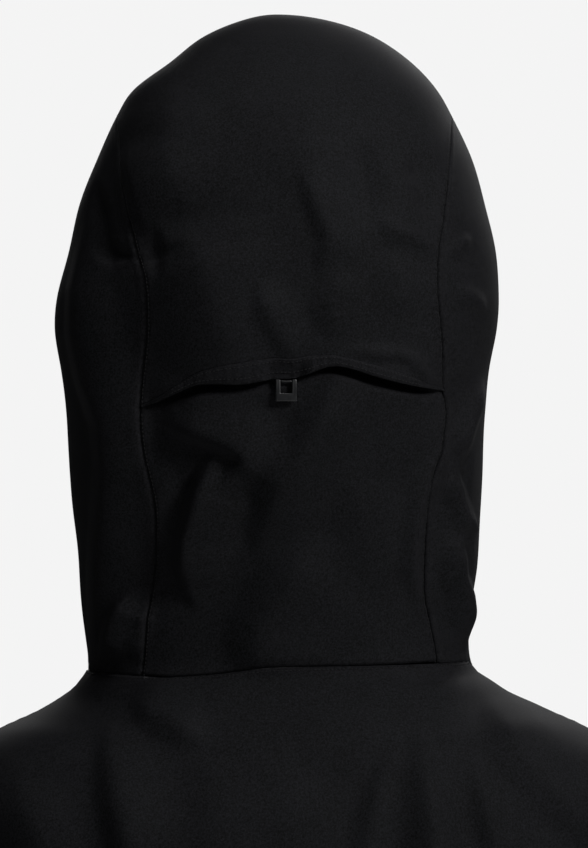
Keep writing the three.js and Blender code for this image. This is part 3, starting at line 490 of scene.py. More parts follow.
def merge(obj, distance):
    """Joins points that lie closer than a distance, and drops those that no face uses."""
    bm = bmesh.new()
    bm.from_mesh(obj.data)
    bmesh.ops.remove_doubles(bm, verts=bm.verts, dist=distance)
    loose = [v for v in bm.verts if not v.link_faces]
    bmesh.ops.delete(bm, geom=loose, context="VERTS")
    bm.to_mesh(obj.data)
    bm.free()


def applied(obj):
    """The object with its modifiers made part of its mesh."""
    bpy.context.view_layer.update()
    view = obj.evaluated_get(bpy.context.evaluated_depsgraph_get())
    mesh = bpy.data.meshes.new_from_object(view)
    obj.modifiers.clear()
    obj.data = mesh
    return obj


def thicken(obj, thickness):
    """Gives a sheet its wall, inward from its face."""
    solid = obj.modifiers.new("Thickness", "SOLIDIFY")
    solid.thickness = thickness
    solid.offset = -1.0
    solid.use_even_offset = False
    return applied(obj)


def cut(obj, cutters):
    """The object less the solids of its cutters."""
    for cutter in cutters:
        tool = obj.modifiers.new("Cut", "BOOLEAN")
        tool.operation = "DIFFERENCE"
        tool.solver = "MANIFOLD"
        tool.object = cutter
    return applied(obj)


def put(obj, slot, replaced=(), body=JACKET, made_of=None):
    """Gives a piece its finish, chosen by its slot unless made_of names one, and its body, and hides the frame pieces
    it stands for.
    """
    obj.data.materials.clear()
    obj.data.materials.append(finish(made_of or SLOT_FINISH[slot]))
    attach(obj, body)
    if replaced:
        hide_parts(*replaced)
    return obj


def loft_object(name, rings):
    """A closed solid from rings of points, each end closed by a fan."""
    rings = np.asarray(rings, float)
    count, sides = rings.shape[:2]
    vertices = list(rings.reshape(-1, 3)) + [rings[0].mean(axis=0), rings[-1].mean(axis=0)]
    faces = []
    for i in range(count - 1):
        for j in range(sides):
            k = (j + 1) % sides
            faces.append((i * sides + j, i * sides + k, (i + 1) * sides + k, (i + 1) * sides + j))
    low, high = count * sides, count * sides + 1
    for j in range(sides):
        k = (j + 1) % sides
        faces.append((low, k, j))
        faces.append((high, (count - 1) * sides + j, (count - 1) * sides + k))
    obj = mesh_object(name, vertices, faces)
    outward(obj)
    return obj


def outward(obj):
    """Turns a closed solid's faces to point outward."""
    bm = bmesh.new()
    bm.from_mesh(obj.data)
    bmesh.ops.recalc_face_normals(bm, faces=bm.faces)
    bm.to_mesh(obj.data)
    bm.free()


def ribbon(name, centre, half_width, half_height, up):
    """A flat strip along a line of points, with rounded edges. up is the strip's face direction at each point."""
    centre, up = np.asarray(centre, float), np.asarray(up, float)
    along_ = np.gradient(centre, axis=0)
    along_ /= np.linalg.norm(along_, axis=1, keepdims=True)
    side = np.cross(along_, up)
    side /= np.linalg.norm(side, axis=1, keepdims=True)
    face = np.cross(side, along_)
    rings = []
    for angle in np.linspace(0, 2 * math.pi, 16, endpoint=False):
        c, s = math.cos(angle), math.sin(angle)
        wide = math.copysign(abs(c) ** 0.35, c) * half_width
        tall = math.copysign(abs(s) ** 0.6, s) * half_height
        rings.append(centre + side * wide + face * tall)
    return loft_object(name, np.stack(rings, axis=1))


# ---- Shared shader effects ----

def new_group(name, inputs, outputs):
    tree = bpy.data.node_groups.new(name, "ShaderNodeTree")
    for label, kind, value in inputs:
        socket = tree.interface.new_socket(name=label, in_out="INPUT", socket_type=kind)
        if value is not None:
            socket.default_value = value
    for label, kind in outputs:
        tree.interface.new_socket(name=label, in_out="OUTPUT", socket_type=kind)
    return tree, tree.nodes.new("NodeGroupInput"), tree.nodes.new("NodeGroupOutput")


def node(tree, kind, **values):
    made = tree.nodes.new(kind)
    for key, value in values.items():
        setattr(made, key, value)
    return made


def wire(tree, source, target):
    tree.links.new(source, target)


def noise(tree, vector, scale, detail, rough=0.55):
    """A noise mask over a position."""
    made = node(tree, "ShaderNodeTexNoise")
    made.inputs["Scale"].default_value = scale
    made.inputs["Detail"].default_value = detail
    made.inputs["Roughness"].default_value = rough
    wire(tree, vector, made.inputs["Vector"])
    return made.outputs["Fac"]


def feed(tree, value, socket):
    """Sets a socket to a number, or wires an output to it."""
    if isinstance(value, (int, float)):
        socket.default_value = value
    else:
        wire(tree, value, socket)


def maths(tree, operation, a, b):
    """One operation on two values, each a number or an output."""
    made = node(tree, "ShaderNodeMath", operation=operation)
    for socket, value in zip(made.inputs, (a, b)):
        feed(tree, value, socket)
    return made.outputs[0]


def ranged(tree, value, low, high, to_low, to_high):
    """A value moved from one range to another."""
    made = node(tree, "ShaderNodeMapRange")
    wire(tree, value, made.inputs["Value"])
    for label, number in (("From Min", low), ("From Max", high), ("To Min", to_low), ("To Max", to_high)):
        feed(tree, number, made.inputs[label])
    return made.outputs["Result"]


def tinted(tree, colour_, scale, target):
    """A colour made lighter or darker by a mask."""
    tint = node(tree, "ShaderNodeVectorMath", operation="SCALE")
    wire(tree, colour_, tint.inputs[0])
    wire(tree, scale, tint.inputs["Scale"])
    wire(tree, tint.outputs["Vector"], target)


def weave_group():
    """Plain weave with a mottled yarn: colour, roughness mask and height from a position in metres."""
    tree, start, end = new_group(
        "Plain weave",
        [("Vector", "NodeSocketVector", None), ("Colour", "NodeSocketColor", (0.01, 0.01, 0.012, 1)),
         ("Mottle", "NodeSocketFloat", 0.35), ("Threads", "NodeSocketFloat", 2600.0)],
        [("Colour", "NodeSocketColor"), ("Rough", "NodeSocketFloat"), ("Height", "NodeSocketFloat")],
    )
    place = start.outputs["Vector"]
    waves = []
    for direction in ("X", "Z"):
        wave = node(tree, "ShaderNodeTexWave", wave_type="BANDS", bands_direction=direction)
        wire(tree, place, wave.inputs["Vector"])
        wire(tree, start.outputs["Threads"], wave.inputs["Scale"])
        wave.inputs["Distortion"].default_value = 0.6
        wave.inputs["Detail"].default_value = 0
        waves.append(wave.outputs["Fac"])
    threads = maths(tree, "MAXIMUM", *waves)
    yarn = noise(tree, place, 900.0, 2.0)
    fleck = noise(tree, place, 2600.0, 1.0)
    broad = noise(tree, place, 22.0, 3.0)
    tone = maths(tree, "ADD", maths(tree, "MULTIPLY", yarn, 0.75), maths(tree, "MULTIPLY", fleck, 0.45))
    tone = maths(tree, "ADD", tone, maths(tree, "MULTIPLY", broad, 0.16))
    spread = ranged(tree, tone, 0.5, 0.86, maths(tree, "SUBTRACT", 1.0, start.outputs["Mottle"]),
                    maths(tree, "ADD", 1.0, start.outputs["Mottle"]))
    tinted(tree, start.outputs["Colour"], spread, end.inputs["Colour"])
    wire(tree, ranged(tree, yarn, 0.3, 0.7, 0.72, 0.9), end.inputs["Rough"])
    wire(tree, maths(tree, "ADD", maths(tree, "MULTIPLY", threads, 0.35), yarn), end.inputs["Height"])
    return tree


def grain_group():
    """Fine surface grain and faint scuffs of a moulded or coated part."""
    tree, start, end = new_group(
        "Moulded grain",
        [("Vector", "NodeSocketVector", None), ("Colour", "NodeSocketColor", (0.05, 0.05, 0.05, 1)),
         ("Wear", "NodeSocketFloat", 0.25)],
        [("Colour", "NodeSocketColor"), ("Rough", "NodeSocketFloat"), ("Height", "NodeSocketFloat")],
    )
    place = start.outputs["Vector"]
    fine = noise(tree, place, 1800.0, 2.0)
    scuff = noise(tree, place, 240.0, 5.0, 0.7)
    worn = maths(tree, "MULTIPLY", ranged(tree, scuff, 0.56, 0.66, 0.0, 1.0), start.outputs["Wear"])
    tinted(tree, start.outputs["Colour"], maths(tree, "ADD", 1.0, worn), end.inputs["Colour"])
    wire(tree, maths(tree, "ADD", 0.3, maths(tree, "MULTIPLY", worn, 0.5)), end.inputs["Rough"])
    wire(tree, maths(tree, "ADD", fine, maths(tree, "MULTIPLY", worn, 0.4)), end.inputs["Height"])
    return tree


# Each finish: its shared effect, its colour or the user's colour of that name, the effect's own values, the bump's
# strength and its depth in metres, and the shader's own values.
FINISHES = {
    "Shell laminate": ("Plain weave", "shell", {"Mottle": 0.85}, 0.35, 0.00012, {"Specular IOR Level": 0.1}),
    "Lining tricot": ("Plain weave", "lining", {"Mottle": 0.3, "Threads": 1800.0}, 0.4, 0.00016,
                      {"Specular IOR Level": 0.15, "Sheen Weight": 0.12, "Sheen Roughness": 0.7}),
    "Woven tape": ("Plain weave", (0.008, 0.008, 0.009), {"Mottle": 0.3, "Threads": 1500.0}, 0.6, 0.0002,
                   {"Specular IOR Level": 0.25}),
    "Sewing thread": ("Plain weave", "thread", {"Mottle": 0.2, "Threads": 6000.0}, 0.3, 0.00005,
                      {"Specular IOR Level": 0.3}),
    "Moulded plastic": ("Moulded grain", "plastic", {"Wear": 0.3}, 0.12, 0.00003,
                        {"Specular IOR Level": 0.6, "Coat Weight": 0.25, "Coat Roughness": 0.22}),
    "Coated metal": ("Moulded grain", (0.03, 0.03, 0.031), {"Wear": 0.8}, 0.1, 0.00002,
                     {"Metallic": 0.85, "Specular IOR Level": 0.5}),
    "Zip coil": ("Moulded grain", (0.012, 0.012, 0.013), {"Wear": 0.15}, 0.1, 0.00002,
                 {"Specular IOR Level": 0.45}),
    "Pale floor": ("Moulded grain", (0.72, 0.72, 0.71), {"Wear": 0.02}, 0.05, 0.0002, {"Specular IOR Level": 0.2}),
}
SLOT_FINISH = {"shell": "Shell laminate", "lining": "Lining tricot", "tape": "Woven tape", "cord": "Woven tape",
               "coil": "Zip coil", "plastic": "Moulded plastic", "metal": "Coated metal"}


def finish(name):
    """A finish's material, which takes its colour, roughness and bump from a shared effect."""
    if name in bpy.data.materials:
        return bpy.data.materials[name]
    effect_name, base, values, bump, depth, shader = FINISHES[name]
    if isinstance(base, str):
        base = getattr(colours(), base)
    made = bpy.data.materials.new(name)
    made.use_nodes = True
    tree = made.node_tree
    principled = tree.nodes["Principled BSDF"]
    effect = node(tree, "ShaderNodeGroup")
    effect.node_tree = bpy.data.node_groups[effect_name]
    place = node(tree, "ShaderNodeTexCoord")
    bumps = node(tree, "ShaderNodeBump")
    for target, settings in (
        (effect, {"Colour": (*base, 1), **values}),
        (bumps, {"Strength": bump, "Distance": depth}),
        (principled, shader),
    ):
        for key, value in settings.items():
            target.inputs[key].default_value = value
    wire(tree, place.outputs["Object"], effect.inputs["Vector"])
    wire(tree, effect.outputs["Height"], bumps.inputs["Height"])
    wire(tree, bumps.outputs["Normal"], principled.inputs["Normal"])
    wire(tree, effect.outputs["Colour"], principled.inputs["Base Color"])
    wire(tree, effect.outputs["Rough"], principled.inputs["Roughness"])
    return made


# ---- Geometry Nodes: a small shape repeated along lines ----

def repeat_tree():
    """The tree that sets a shape along lines at an even spacing, all facing one way."""
    tree = bpy.data.node_groups.get("Repeat along line")
    if tree:
        return tree
    tree = bpy.data.node_groups.new("Repeat along line", "GeometryNodeTree")
    for label, kind in (("Geometry", "Geometry"), ("Spacing", "Float"), ("Shape", "Object"),
                        ("Face direction", "Vector"), ("Material", "Material")):
        tree.interface.new_socket(name=label, in_out="INPUT", socket_type=f"NodeSocket{kind}")
    tree.interface.new_socket(name="Geometry", in_out="OUTPUT", socket_type="NodeSocketGeometry")
    start, end = tree.nodes.new("NodeGroupInput"), tree.nodes.new("NodeGroupOutput")
    curve = node(tree, "GeometryNodeMeshToCurve")
    evenly = node(tree, "GeometryNodeResampleCurve", mode="LENGTH")
    shape = node(tree, "GeometryNodeObjectInfo")
    tangent = node(tree, "GeometryNodeInputTangent")
    aim = node(tree, "FunctionNodeAlignRotationToVector", axis="X")
    roll = node(tree, "FunctionNodeAlignRotationToVector", axis="Z", pivot_axis="X")
    place = node(tree, "GeometryNodeInstanceOnPoints")
    real = node(tree, "GeometryNodeRealizeInstances")
    paint = node(tree, "GeometryNodeSetMaterial")
    for source, target in (
        (start.outputs["Geometry"], curve.inputs["Mesh"]),
        (curve.outputs["Curve"], evenly.inputs["Curve"]),
        (start.outputs["Spacing"], evenly.inputs["Length"]),
        (start.outputs["Shape"], shape.inputs["Object"]),
        (tangent.outputs["Tangent"], aim.inputs["Vector"]),
        (aim.outputs["Rotation"], roll.inputs["Rotation"]),
        (start.outputs["Face direction"], roll.inputs["Vector"]),
        (evenly.outputs["Curve"], place.inputs["Points"]),
        (shape.outputs["Geometry"], place.inputs["Instance"]),
        (roll.outputs["Rotation"], place.inputs["Rotation"]),
        (place.outputs["Instances"], real.inputs["Geometry"]),
        (real.outputs["Geometry"], paint.inputs["Geometry"]),
        (start.outputs["Material"], paint.inputs["Material"]),
        (paint.outputs["Geometry"], end.inputs["Geometry"]),
    ):
        wire(tree, source, target)
    return tree


def repeated(name, lines, shape, spacing, paint, facing=(0, -1, 0)):
    """One mesh of a shape repeated along lines of points."""
    vertices, edges = [], []
    for line in lines:
        first = len(vertices)
        vertices += [tuple(np.asarray(p) * MM) for p in line]
        edges += [(first + i, first + i + 1) for i in range(len(line) - 1)]
    mesh = bpy.data.meshes.new(name)
    mesh.from_pydata(vertices, edges, [])
    obj = link(name, mesh)
    tree = repeat_tree()
    keys = {s.name: s.identifier for s in tree.interface.items_tree if s.in_out == "INPUT"}
    modifier = obj.modifiers.new("Repeat", "NODES")
    modifier.node_group = tree
    modifier[keys["Spacing"]] = spacing
    modifier[keys["Shape"]] = shape
    modifier[keys["Face direction"]] = facing
    modifier[keys["Material"]] = paint
    applied(obj)
    bpy.data.objects.remove(shape)
    if not obj.data.polygons:
        raise RuntimeError(f"{name} came out empty")
    return obj


SIX_ANGLES = [2 * math.pi * k / 6 for k in range(6)]


def stitch_shape(length_mm, radius):
    """One stitch: a short thread that dips into the cloth at both ends."""
    stations = [(-0.5, -1.6, 0.5), (-0.32, 0.2, 0.95), (0, 0.55, 1.0), (0.32, 0.2, 0.95), (0.5, -1.6, 0.5)]
    rings = [[(share * length_mm, wide * radius * math.cos(angle), rise * radius + wide * radius * math.sin(angle))
              for angle in SIX_ANGLES] for share, rise, wide in stations]
    return loft_object("stitch shape", rings)


def stitch(name, lines):
    """Rows of stitches along lines."""
    step = sizes().stitch
    made = repeated(name, lines, stitch_shape(step / MM * 0.74, 0.24), step, finish("Sewing thread"))
    return put(made, "shell", made_of="Sewing thread")


# ---- Hood ----

def rows_between(low, high, step):
    """Distances up the outline, as a grid column by column, from one line of heights to another."""
    count = max(int(round(np.max(np.abs(high - low)) / step)), 2)
    share = np.linspace(0, 1, count + 1)[:, None]
    return low[None, :] * (1 - share) + high[None, :] * share


def seam_x(side, z):
    return np.interp(z, *SEAM_LINES[side])


def neck_height(x, y):
    """The neck seam's height: a little higher on the right behind, falling towards the front."""
    behind = ease(-40, 20, -y)
    tilt = np.interp(x, [-106, -65, -36, -5, 30, 105], [0, -2, 0.6, 3.8, 5, 5.8])
    return np.interp(y, [-80, 20, 60, 104, 200], [0, -3, -24.7, -55, -55]) + tilt * behind


def face_half_width(z):
    foot, brow, half = FACE
    share = np.clip(np.abs(z - (foot + brow) / 2) / ((brow - foot) / 2), 0, 1)
    return half * (1 - share ** 2.5) ** 0.4


def front_gap(z):
    """Half width of what is open at the centre front at each height: the zip, then the face."""
    return np.maximum(face_half_width(z), np.where(z < FACE[0] + 12, ZIP_HALF, 0.0))


def height_at(t):
    return np.interp(t, RISE, PROFILE[:, 0])


def strip_turns(t):
    """Turns across the middle strip, from the left long seam to the right one, at each column's distance up."""
    low = np.minimum(t, along(CORNER))
    left, right = [turn_at_x(seam_x(side, np.minimum(height_at(t), CORNER)), low) for side in ("left", "right")]
    share = np.linspace(0, 1, HOOD_COLUMNS + 1)
    return left * (1 - share) + right * share


def strip_foot(height_of_x):
    """Distances up the outline at which the middle strip's columns meet a line of heights given by x."""
    t = np.full(HOOD_COLUMNS + 1, along(150.0))
    for _ in range(4):
        t = along(height_of_x(body_point(strip_turns(t), t)[:, 0]))
    return t


def slit_height(x):
    return np.interp(x, *SLIT_LINE)


def clear_of_tab(x):
    """1 along the lip, and 0 where the adjuster's tab swings up against it."""
    low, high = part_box("hood_adjuster_tab")
    middle, half = (low.x + high.x) / 2 / MM, (high.x - low.x) / 2 / MM
    return ease(half + 1.5, half + 8, np.abs(x - middle))


def crown_lift(points):
    """The crown panel's lower edge stands proud where the slit gapes."""
    x, z = points[..., 0], points[..., 2]
    above = z - slit_height(x)
    gape = 2.6 * np.exp(-((x - 62) / 26) ** 2) + 2.4 * np.exp(-((x + 34) / 26) ** 2) + 0.5
    ends = ease(-80, -62, x) * ease(0, 16, 98 - x)
    swell = (1.2 + gape * np.exp(-(np.maximum(above, 0) / 12) ** 2)) * np.exp(-(np.maximum(above, 0) / 22) ** 2)
    low_down = 1 - ease(5, 12, above)
    return swell * ends * (1 - low_down * (1 - clear_of_tab(x)))


def crown_points(turn, t):
    points = settled(turn, t)
    return points + normals(points) * crown_lift(points)[..., None]


def build_crown():
    """The crown panel: a strip from the slit up between the long seams, closed over the top by a dome."""
    low = strip_foot(slit_height)
    t = rows_between(low, np.full_like(low, along(CORNER)), sizes().mesh / MM)
    middle = with_seams(crown_points(strip_turns(t), t), {"left": True, "right": True})
    upper = np.linspace(along(CORNER), RISE[-1], 60)
    side_count = 70
    centre = strip_turns(upper[:, None])
    share = np.linspace(0, 1, side_count + 1)[None, :]
    left = -math.pi * (1 - share) + centre[:, :1] * share
    right = centre[:, -1:] * (1 - share) + math.pi * share
    all_turns = np.hstack([left[:, :-1], centre, right[:, 1:]])
    top = settled(all_turns, np.repeat(upper[:, None], all_turns.shape[1], axis=1))
    top[-1] = top[-1].mean(axis=0)
    top[0, side_count:side_count + HOOD_COLUMNS + 1] = middle[-1]
    joined = join([grid_object("hood_crown", middle), grid_object("hood_dome", top)], "hood_crown_cloth")
    merge(joined, 0.0002)
    put(thicken(joined, sizes().cloth), "shell", ["hood_crown_panel"])
    return [line_beside(middle, edge, EDGE_STITCH) for edge in ("left", "right")]


def join(objects, name):
    """One object from several, with their meshes put together."""
    bm = bmesh.new()
    for obj in objects:
        bm.from_mesh(obj.data)
    mesh = bpy.data.meshes.new(name)
    bm.to_mesh(mesh)
    bm.free()
    mesh.polygons.foreach_set("use_smooth", [True] * len(mesh.polygons))
    for obj in objects:
        bpy.data.objects.remove(obj)
    return link(name, mesh)


def build_nape():
    """The nape panel, from the neck seam up behind the lip, drawn in where the slit gapes."""
    neck = strip_foot(lambda x: neck_height(x, -80.0))
    t = rows_between(neck, strip_foot(lambda x: slit_height(x) + SLIT_TUCK), sizes().mesh / MM * 0.9)
    points = settled(strip_turns(t), t)
    x = points[..., 0]
    over = points[..., 2] - slit_height(x)
    ends = ease(-79, -66, x) * ease(0, 14, 97 - x)
    gape = 2.4 + 6.2 * np.exp(-((x - 56) / 32) ** 2) + 3.4 * np.exp(-((x + 36) / 26) ** 2)
    tuck = gape * ends * ease(-7.5, -1, over) + 1.6 * ease(-6, 2, over)
    points = points - normals(points) * tuck[..., None]
    points = with_seams(points, {"left": True, "right": True, "low": False})
    put(thicken(grid_object("hood_nape_cloth", points), sizes().cloth), "shell", ["hood_nape_panel"])
    return points


def build_side(name, sign):
    """One hood side with its collar half: from the long seam round to the face opening and the zip."""
    step = sizes().mesh / MM * 1.15
    top = along(CORNER)
    count = HOOD_COLUMNS
    collar_height, collar_y = COLLAR_SEAM
    share = np.linspace(0, 1, count + 1)
    # the neck seam's height depends on where the column ends up, so it is found by a few rounds
    t_low = np.full(count + 1, along(0.0))
    for _ in range(6):
        seam = turn_at_x(seam_x(name, height_at(t_low)), t_low)
        edge = turn_at_x(sign * front_gap(height_at(t_low)), t_low, front=True)
        place = body_point(seam * (1 - share) + edge * share, t_low)
        t_low = 0.5 * t_low + 0.5 * along(neck_height(place[..., 0], place[..., 1]))
    collar_t = np.full(count + 1, along(collar_height))
    t = np.vstack([rows_between(t_low, collar_t, step)[:-1],
                   rows_between(collar_t, np.full(count + 1, top), step)])
    z = height_at(t)
    seam = turn_at_x(seam_x(name, z[:, :1]), t[:, :1])
    edge = turn_at_x(sign * np.maximum(front_gap(z), 0.01), t, front=True)
    split = turn_at_y(collar_y, t, sign)
    first = int(count * 0.6)
    s1 = np.linspace(0, 1, first + 1)[None, :]
    s2 = np.linspace(0, 1, count - first + 1)[None, 1:]
    turn = np.hstack([seam * (1 - s1) + split[:, :first + 1] * s1,
                      split[:, first + 1:] * (1 - s2) + edge[:, first + 1:] * s2])
    points = settled(turn, t)
    low_rows = int(np.sum(z[:, -1] < collar_height - 0.01))
    keep = np.ones((len(t) - 1, count), bool)
    keep[:low_rows, first:] = False
    edge_name = "left" if sign > 0 else "right"
    if sign < 0:
        points = points[:, ::-1]
        keep = keep[:, ::-1]
    points = with_seams(points, {edge_name: True, "low": False, "high": False})
    side = thicken(grid_object(f"hood_side_cloth_{name}", points, keep=keep), sizes().cloth)
    put(side, "shell", [f"hood_side_{name}"])
    collar = thicken(grid_object(f"collar_cloth_{name}", points, keep=~keep), sizes().cloth * 1.4)
    put(collar, "shell", [f"collar_{name}"])
    return points


def build_slit():
    """The folded lip over the slit, the facing behind it and their rows of stitches."""
    x = np.linspace(-77, 97, 140)
    low = slit_height(x)
    tall = np.interp(x, *LIP_LINE)
    # each row's share of the lip's height, and how far it stands off the crown
    bands = [(-0.4, 0.2), (-0.6, 1.5), (0.1, 2.1), (0.45, 2.0), (0.8, 2.0), (0.97, 1.8), (1.04, 0.9), (1.05, 0.2)]
    heights = np.stack([low + np.where(share > 0, share * tall, share) for share, _ in bands])
    rows = []
    for z in heights:
        t = along(z)
        turn = turn_at_x(x, t)
        rows.append(crown_points(turn[None, :].repeat(3, 0), np.stack([t - 1, t, t + 1]))[1])
    grid = np.stack(rows)
    out_dir = np.array([0, -1.0, 0])
    proud = np.array([out for _, out in bands])[:, None] * 0.75
    low_down = 1 - ease(5, 9, heights - low)
    proud = np.maximum(proud * (1 - low_down * (1 - clear_of_tab(x))), 0.15)
    lifted = grid + out_dir * proud[..., None]
    ends = ease(-77, -70, x) * ease(0, 7, 97 - x)
    lifted = grid + (lifted - grid) * (0.25 + 0.75 * ends)[None, :, None]
    lifted[..., 1] += 0.12 * np.sin(x * 2 * math.pi / 5.4)[None, :]
    lip = thicken(grid_object("slit_lip_cloth", lifted), 0.0006)
    soften = lip.modifiers.new("Round", "SUBSURF")
    soften.levels = soften.render_levels = 1
    put(applied(lip), "shell", ["slit_lip"])
    stitch("slit_stitches", [(lifted[2] * (1 - share) + lifted[5] * share)[14:-14] + out_dir * 0.12
                             for share in (0.2, 0.86)])
    rows = [settled_line(x, slit_height(x) + rise, -12.0) for rise in (-17, -9, -3, 3, 10)]
    backing = thicken(grid_object("slit_backing_cloth", np.stack(rows)), sizes().facing)
    put(backing, "lining", ["slit_backing"])


def build_hood_cord():
    """The braided cord in the slit: it dips out over the tab and goes back up behind the lip."""
    low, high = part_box("hood_adjuster_tab")
    middle = (low.x + high.x) / 2 / MM
    xs = np.linspace(-66, 86, 60)
    near = np.exp(-((xs - middle) / 8.5) ** 2)
    centre = settled_line(xs, slit_height(xs) + 3.0, -3.6)
    hinge = np.array(joint("adjuster_tab_swing")["pos_m"]) / MM
    for axis, clear in ((1, 0.3), (2, 0.1)):
        centre[:, axis] = centre[:, axis] * (1 - near) + (hinge[axis] + clear) * near
    put(braid_object("hood_cord_braid", centre, 1.05), "cord", ["hood_cord"])


def braid_object(name, centre, radius):
    """A round cord with the low diamond relief of its braid."""
    length_ = np.concatenate([[0], np.cumsum(np.linalg.norm(np.diff(centre, axis=0), axis=1))])
    fine = np.linspace(0, length_[-1], int(length_[-1] / 0.5))
    centre = np.stack([np.interp(fine, length_, centre[:, k]) for k in range(3)], axis=1)
    along_ = np.gradient(centre, axis=0)
    along_ /= np.linalg.norm(along_, axis=1, keepdims=True)
    side = np.cross(along_, [0, -1.0, 0])
    side /= np.linalg.norm(side, axis=1, keepdims=True)
    face = np.cross(side, along_)
    rings = []
    for k in range(12):
        angle = 2 * math.pi * k / 12
        bump = 1 + 0.09 * np.sin(3 * angle + fine * 2.4) * np.sin(3 * angle - fine * 2.4)
        rings.append(centre + radius * bump[:, None] * (side * math.cos(angle) + face * math.sin(angle)))
    return loft_object(name, np.stack(rings, axis=1))


class JACKET_OT_hood(bpy.types.Operator):
    """Makes the hood's crown, nape and side panels with the collar halves"""

    bl_idname = "jacket.hood"
    bl_label = "Hood panels"

    def execute(self, context):
        lines = build_crown()
        nape = build_nape()
        for name, sign in SIDES:
            points = build_side(name, sign)
            lines.append(line_beside(nape, name, EDGE_STITCH)[:-8])
            lines.append(line_beside(points, "high", EDGE_STITCH)[6:-6])
        stitch("hood_stitches", lines)
        return {"FINISHED"}


class JACKET_OT_slit(bpy.types.Operator):
    """Makes the rear slit's folded lip, its facing and the cord inside"""

    bl_idname = "jacket.slit"
    bl_label = "Hood slit"

    def execute(self, context):
        build_slit()
        build_hood_cord()
        return {"FINISHED"}


# ---- Body ----

def side_seam_y(z, ahead):
    """Depth of the side seams: either side of the side panel low down, one shoulder seam above."""
    high = ease(-210, -130, z)
    low = 60.0 if ahead else -60.0
    return low * (1 - high) + 15.0 * high


def hem_height(y):
    return np.interp(y, [-120, 120], [HEM[1], HEM[0]])


def body_grid(turn_left, turn_right, count, step):
    """A grid from the hem to the neck seam between two edges given as turns by distance up."""
    share = np.linspace(0, 1, count + 1)
    t_low = np.full(count + 1, along(HEM[1]))
    t_high = np.full(count + 1, along(0.0))
    for _ in range(8):
        for which in (0, 1):
            t = (t_low, t_high)[which]
            turn = turn_left(t) * (1 - share) + turn_right(t) * share
            place = body_point(turn, t)
            if which == 0:
                t_low = along(hem_height(place[..., 1]))
            else:
                t_high = 0.5 * t_high + 0.5 * along(neck_height(place[..., 0], place[..., 1]))
    t = rows_between(t_low, t_high, step)
    share = share[None, :]
    turn = turn_left(t) * (1 - share) + turn_right(t) * share
    return turn, t


def edge_turn(side, ahead):
    return lambda t: turn_at_y(side_seam_y(height_at(t), ahead), t, side)


def zip_turn(side):
    return lambda t: turn_at_x(np.full(np.shape(t), side * ZIP_HALF), t, front=True)


def body_core():
    """The solid inside the jacket's outer surface, to end the sleeves at the armholes."""
    turn = np.linspace(-math.pi, math.pi, 200, endpoint=False)[None, :].repeat(150, 0)
    t = np.linspace(along(-520.0), along(-22.0), 150)[:, None].repeat(200, 1)
    return loft_object("body_core", settled(turn, t, -0.3))


class JACKET_OT_body(bpy.types.Operator):
    """Makes the back, side and front panels down to the hem"""

    bl_idname = "jacket.body"
    bl_label = "Body panels"

    def execute(self, context):
        hollows = [sleeve_solid(f"hollow {name}", sign, -0.3, 8) for name, sign in SIDES]
        slots = [zip_slot(prefix) for prefix in POCKET_ZIPS]
        cloth = sizes().cloth
        turn, t = body_grid(edge_turn(-1, False), edge_turn(1, False), *BACK_MESH)
        points = with_seams(settled(turn, t), {"left": True, "right": True, "high": True})
        lines = [line_beside(points, "high", EDGE_STITCH), line_beside(points, "low", HEM_STITCH)]
        back = thicken(grid_object("back_cloth", points), cloth)
        put(cut(back, hollows), "shell", ["back_panel"])
        for (name, sign), hollow in zip(SIDES, hollows):
            zip_edge = "right" if sign > 0 else "left"
            turn, t = body_grid(*(edge_turn(sign, True), zip_turn(sign))[::sign], *FRONT_MESH)
            points = with_seams(settled(turn, t), {"left": sign > 0, "right": sign < 0, "high": False})
            lines += [line_beside(points, "low", HEM_STITCH), line_beside(points, zip_edge, ZIP_STITCH)]
            front = thicken(grid_object(f"front_cloth_{name}", points), cloth)
            put(cut(front, [hollow] + slots), "shell", [f"front_{name}"])
            first, last = (edge_turn(sign, False), edge_turn(sign, True))[::sign]
            share = np.linspace(0, 1, SIDE_COLUMNS + 1)[None, :]
            foot = np.full((1, SIDE_COLUMNS + 1), along(HEM[1]))
            low = along(hem_height(body_point(first(foot) * (1 - share) + last(foot) * share, foot)[0, :, 1]))
            t = rows_between(low, np.full_like(low, along(SIDE_TOP)), SIDE_STEP)
            turn = first(t) * (1 - share) + last(t) * share
            points = with_seams(settled(turn, t), {"left": False, "right": False})
            side = thicken(grid_object(f"side_cloth_{name}", points), cloth)
            put(cut(side, [hollow]), "shell", [f"side_panel_{name}"])
        stitch("body_stitches", lines)
        for tool in hollows + slots:
            bpy.data.objects.remove(tool)
        return {"FINISHED"}


# ---- Sleeves ----

def arm_rows():
    """The arm's rings as rows of outer x, z, inner x, z, half depth and y."""
    rows = [list(r) for r in ARM]
    ox, oz, ix, iz, _, _ = ARM[-1]
    start = np.array([(ox + ix) / 2, (oz + iz) / 2])
    down = np.array([ARM_SLOPE, -1.0]) / math.hypot(ARM_SLOPE, 1)
    across = np.array([-down[1], down[0]])
    forearm = SLEEVE_LENGTH - CUFF_LENGTH + start[1] + SHOULDER_DROP
    for share, half, deep, y in FOREARM:
        middle = start + down * share * forearm
        outer, inner = middle + across * half, middle - across * half
        rows.append([outer[0], outer[1], inner[0], inner[1], deep, y])
    return np.array(rows), down, across


ARM_ROWS, ARM_DOWN, ARM_ACROSS = arm_rows()
ARM_FINE = through(ARM_ROWS, 20)
ARM_MIDDLE = np.stack([(ARM_FINE[:, 0] + ARM_FINE[:, 2]) / 2, (ARM_FINE[:, 1] + ARM_FINE[:, 3]) / 2], axis=1)
ARM_RUN = np.concatenate([[0], np.cumsum(np.linalg.norm(np.diff(ARM_MIDDLE, axis=0), axis=1))])


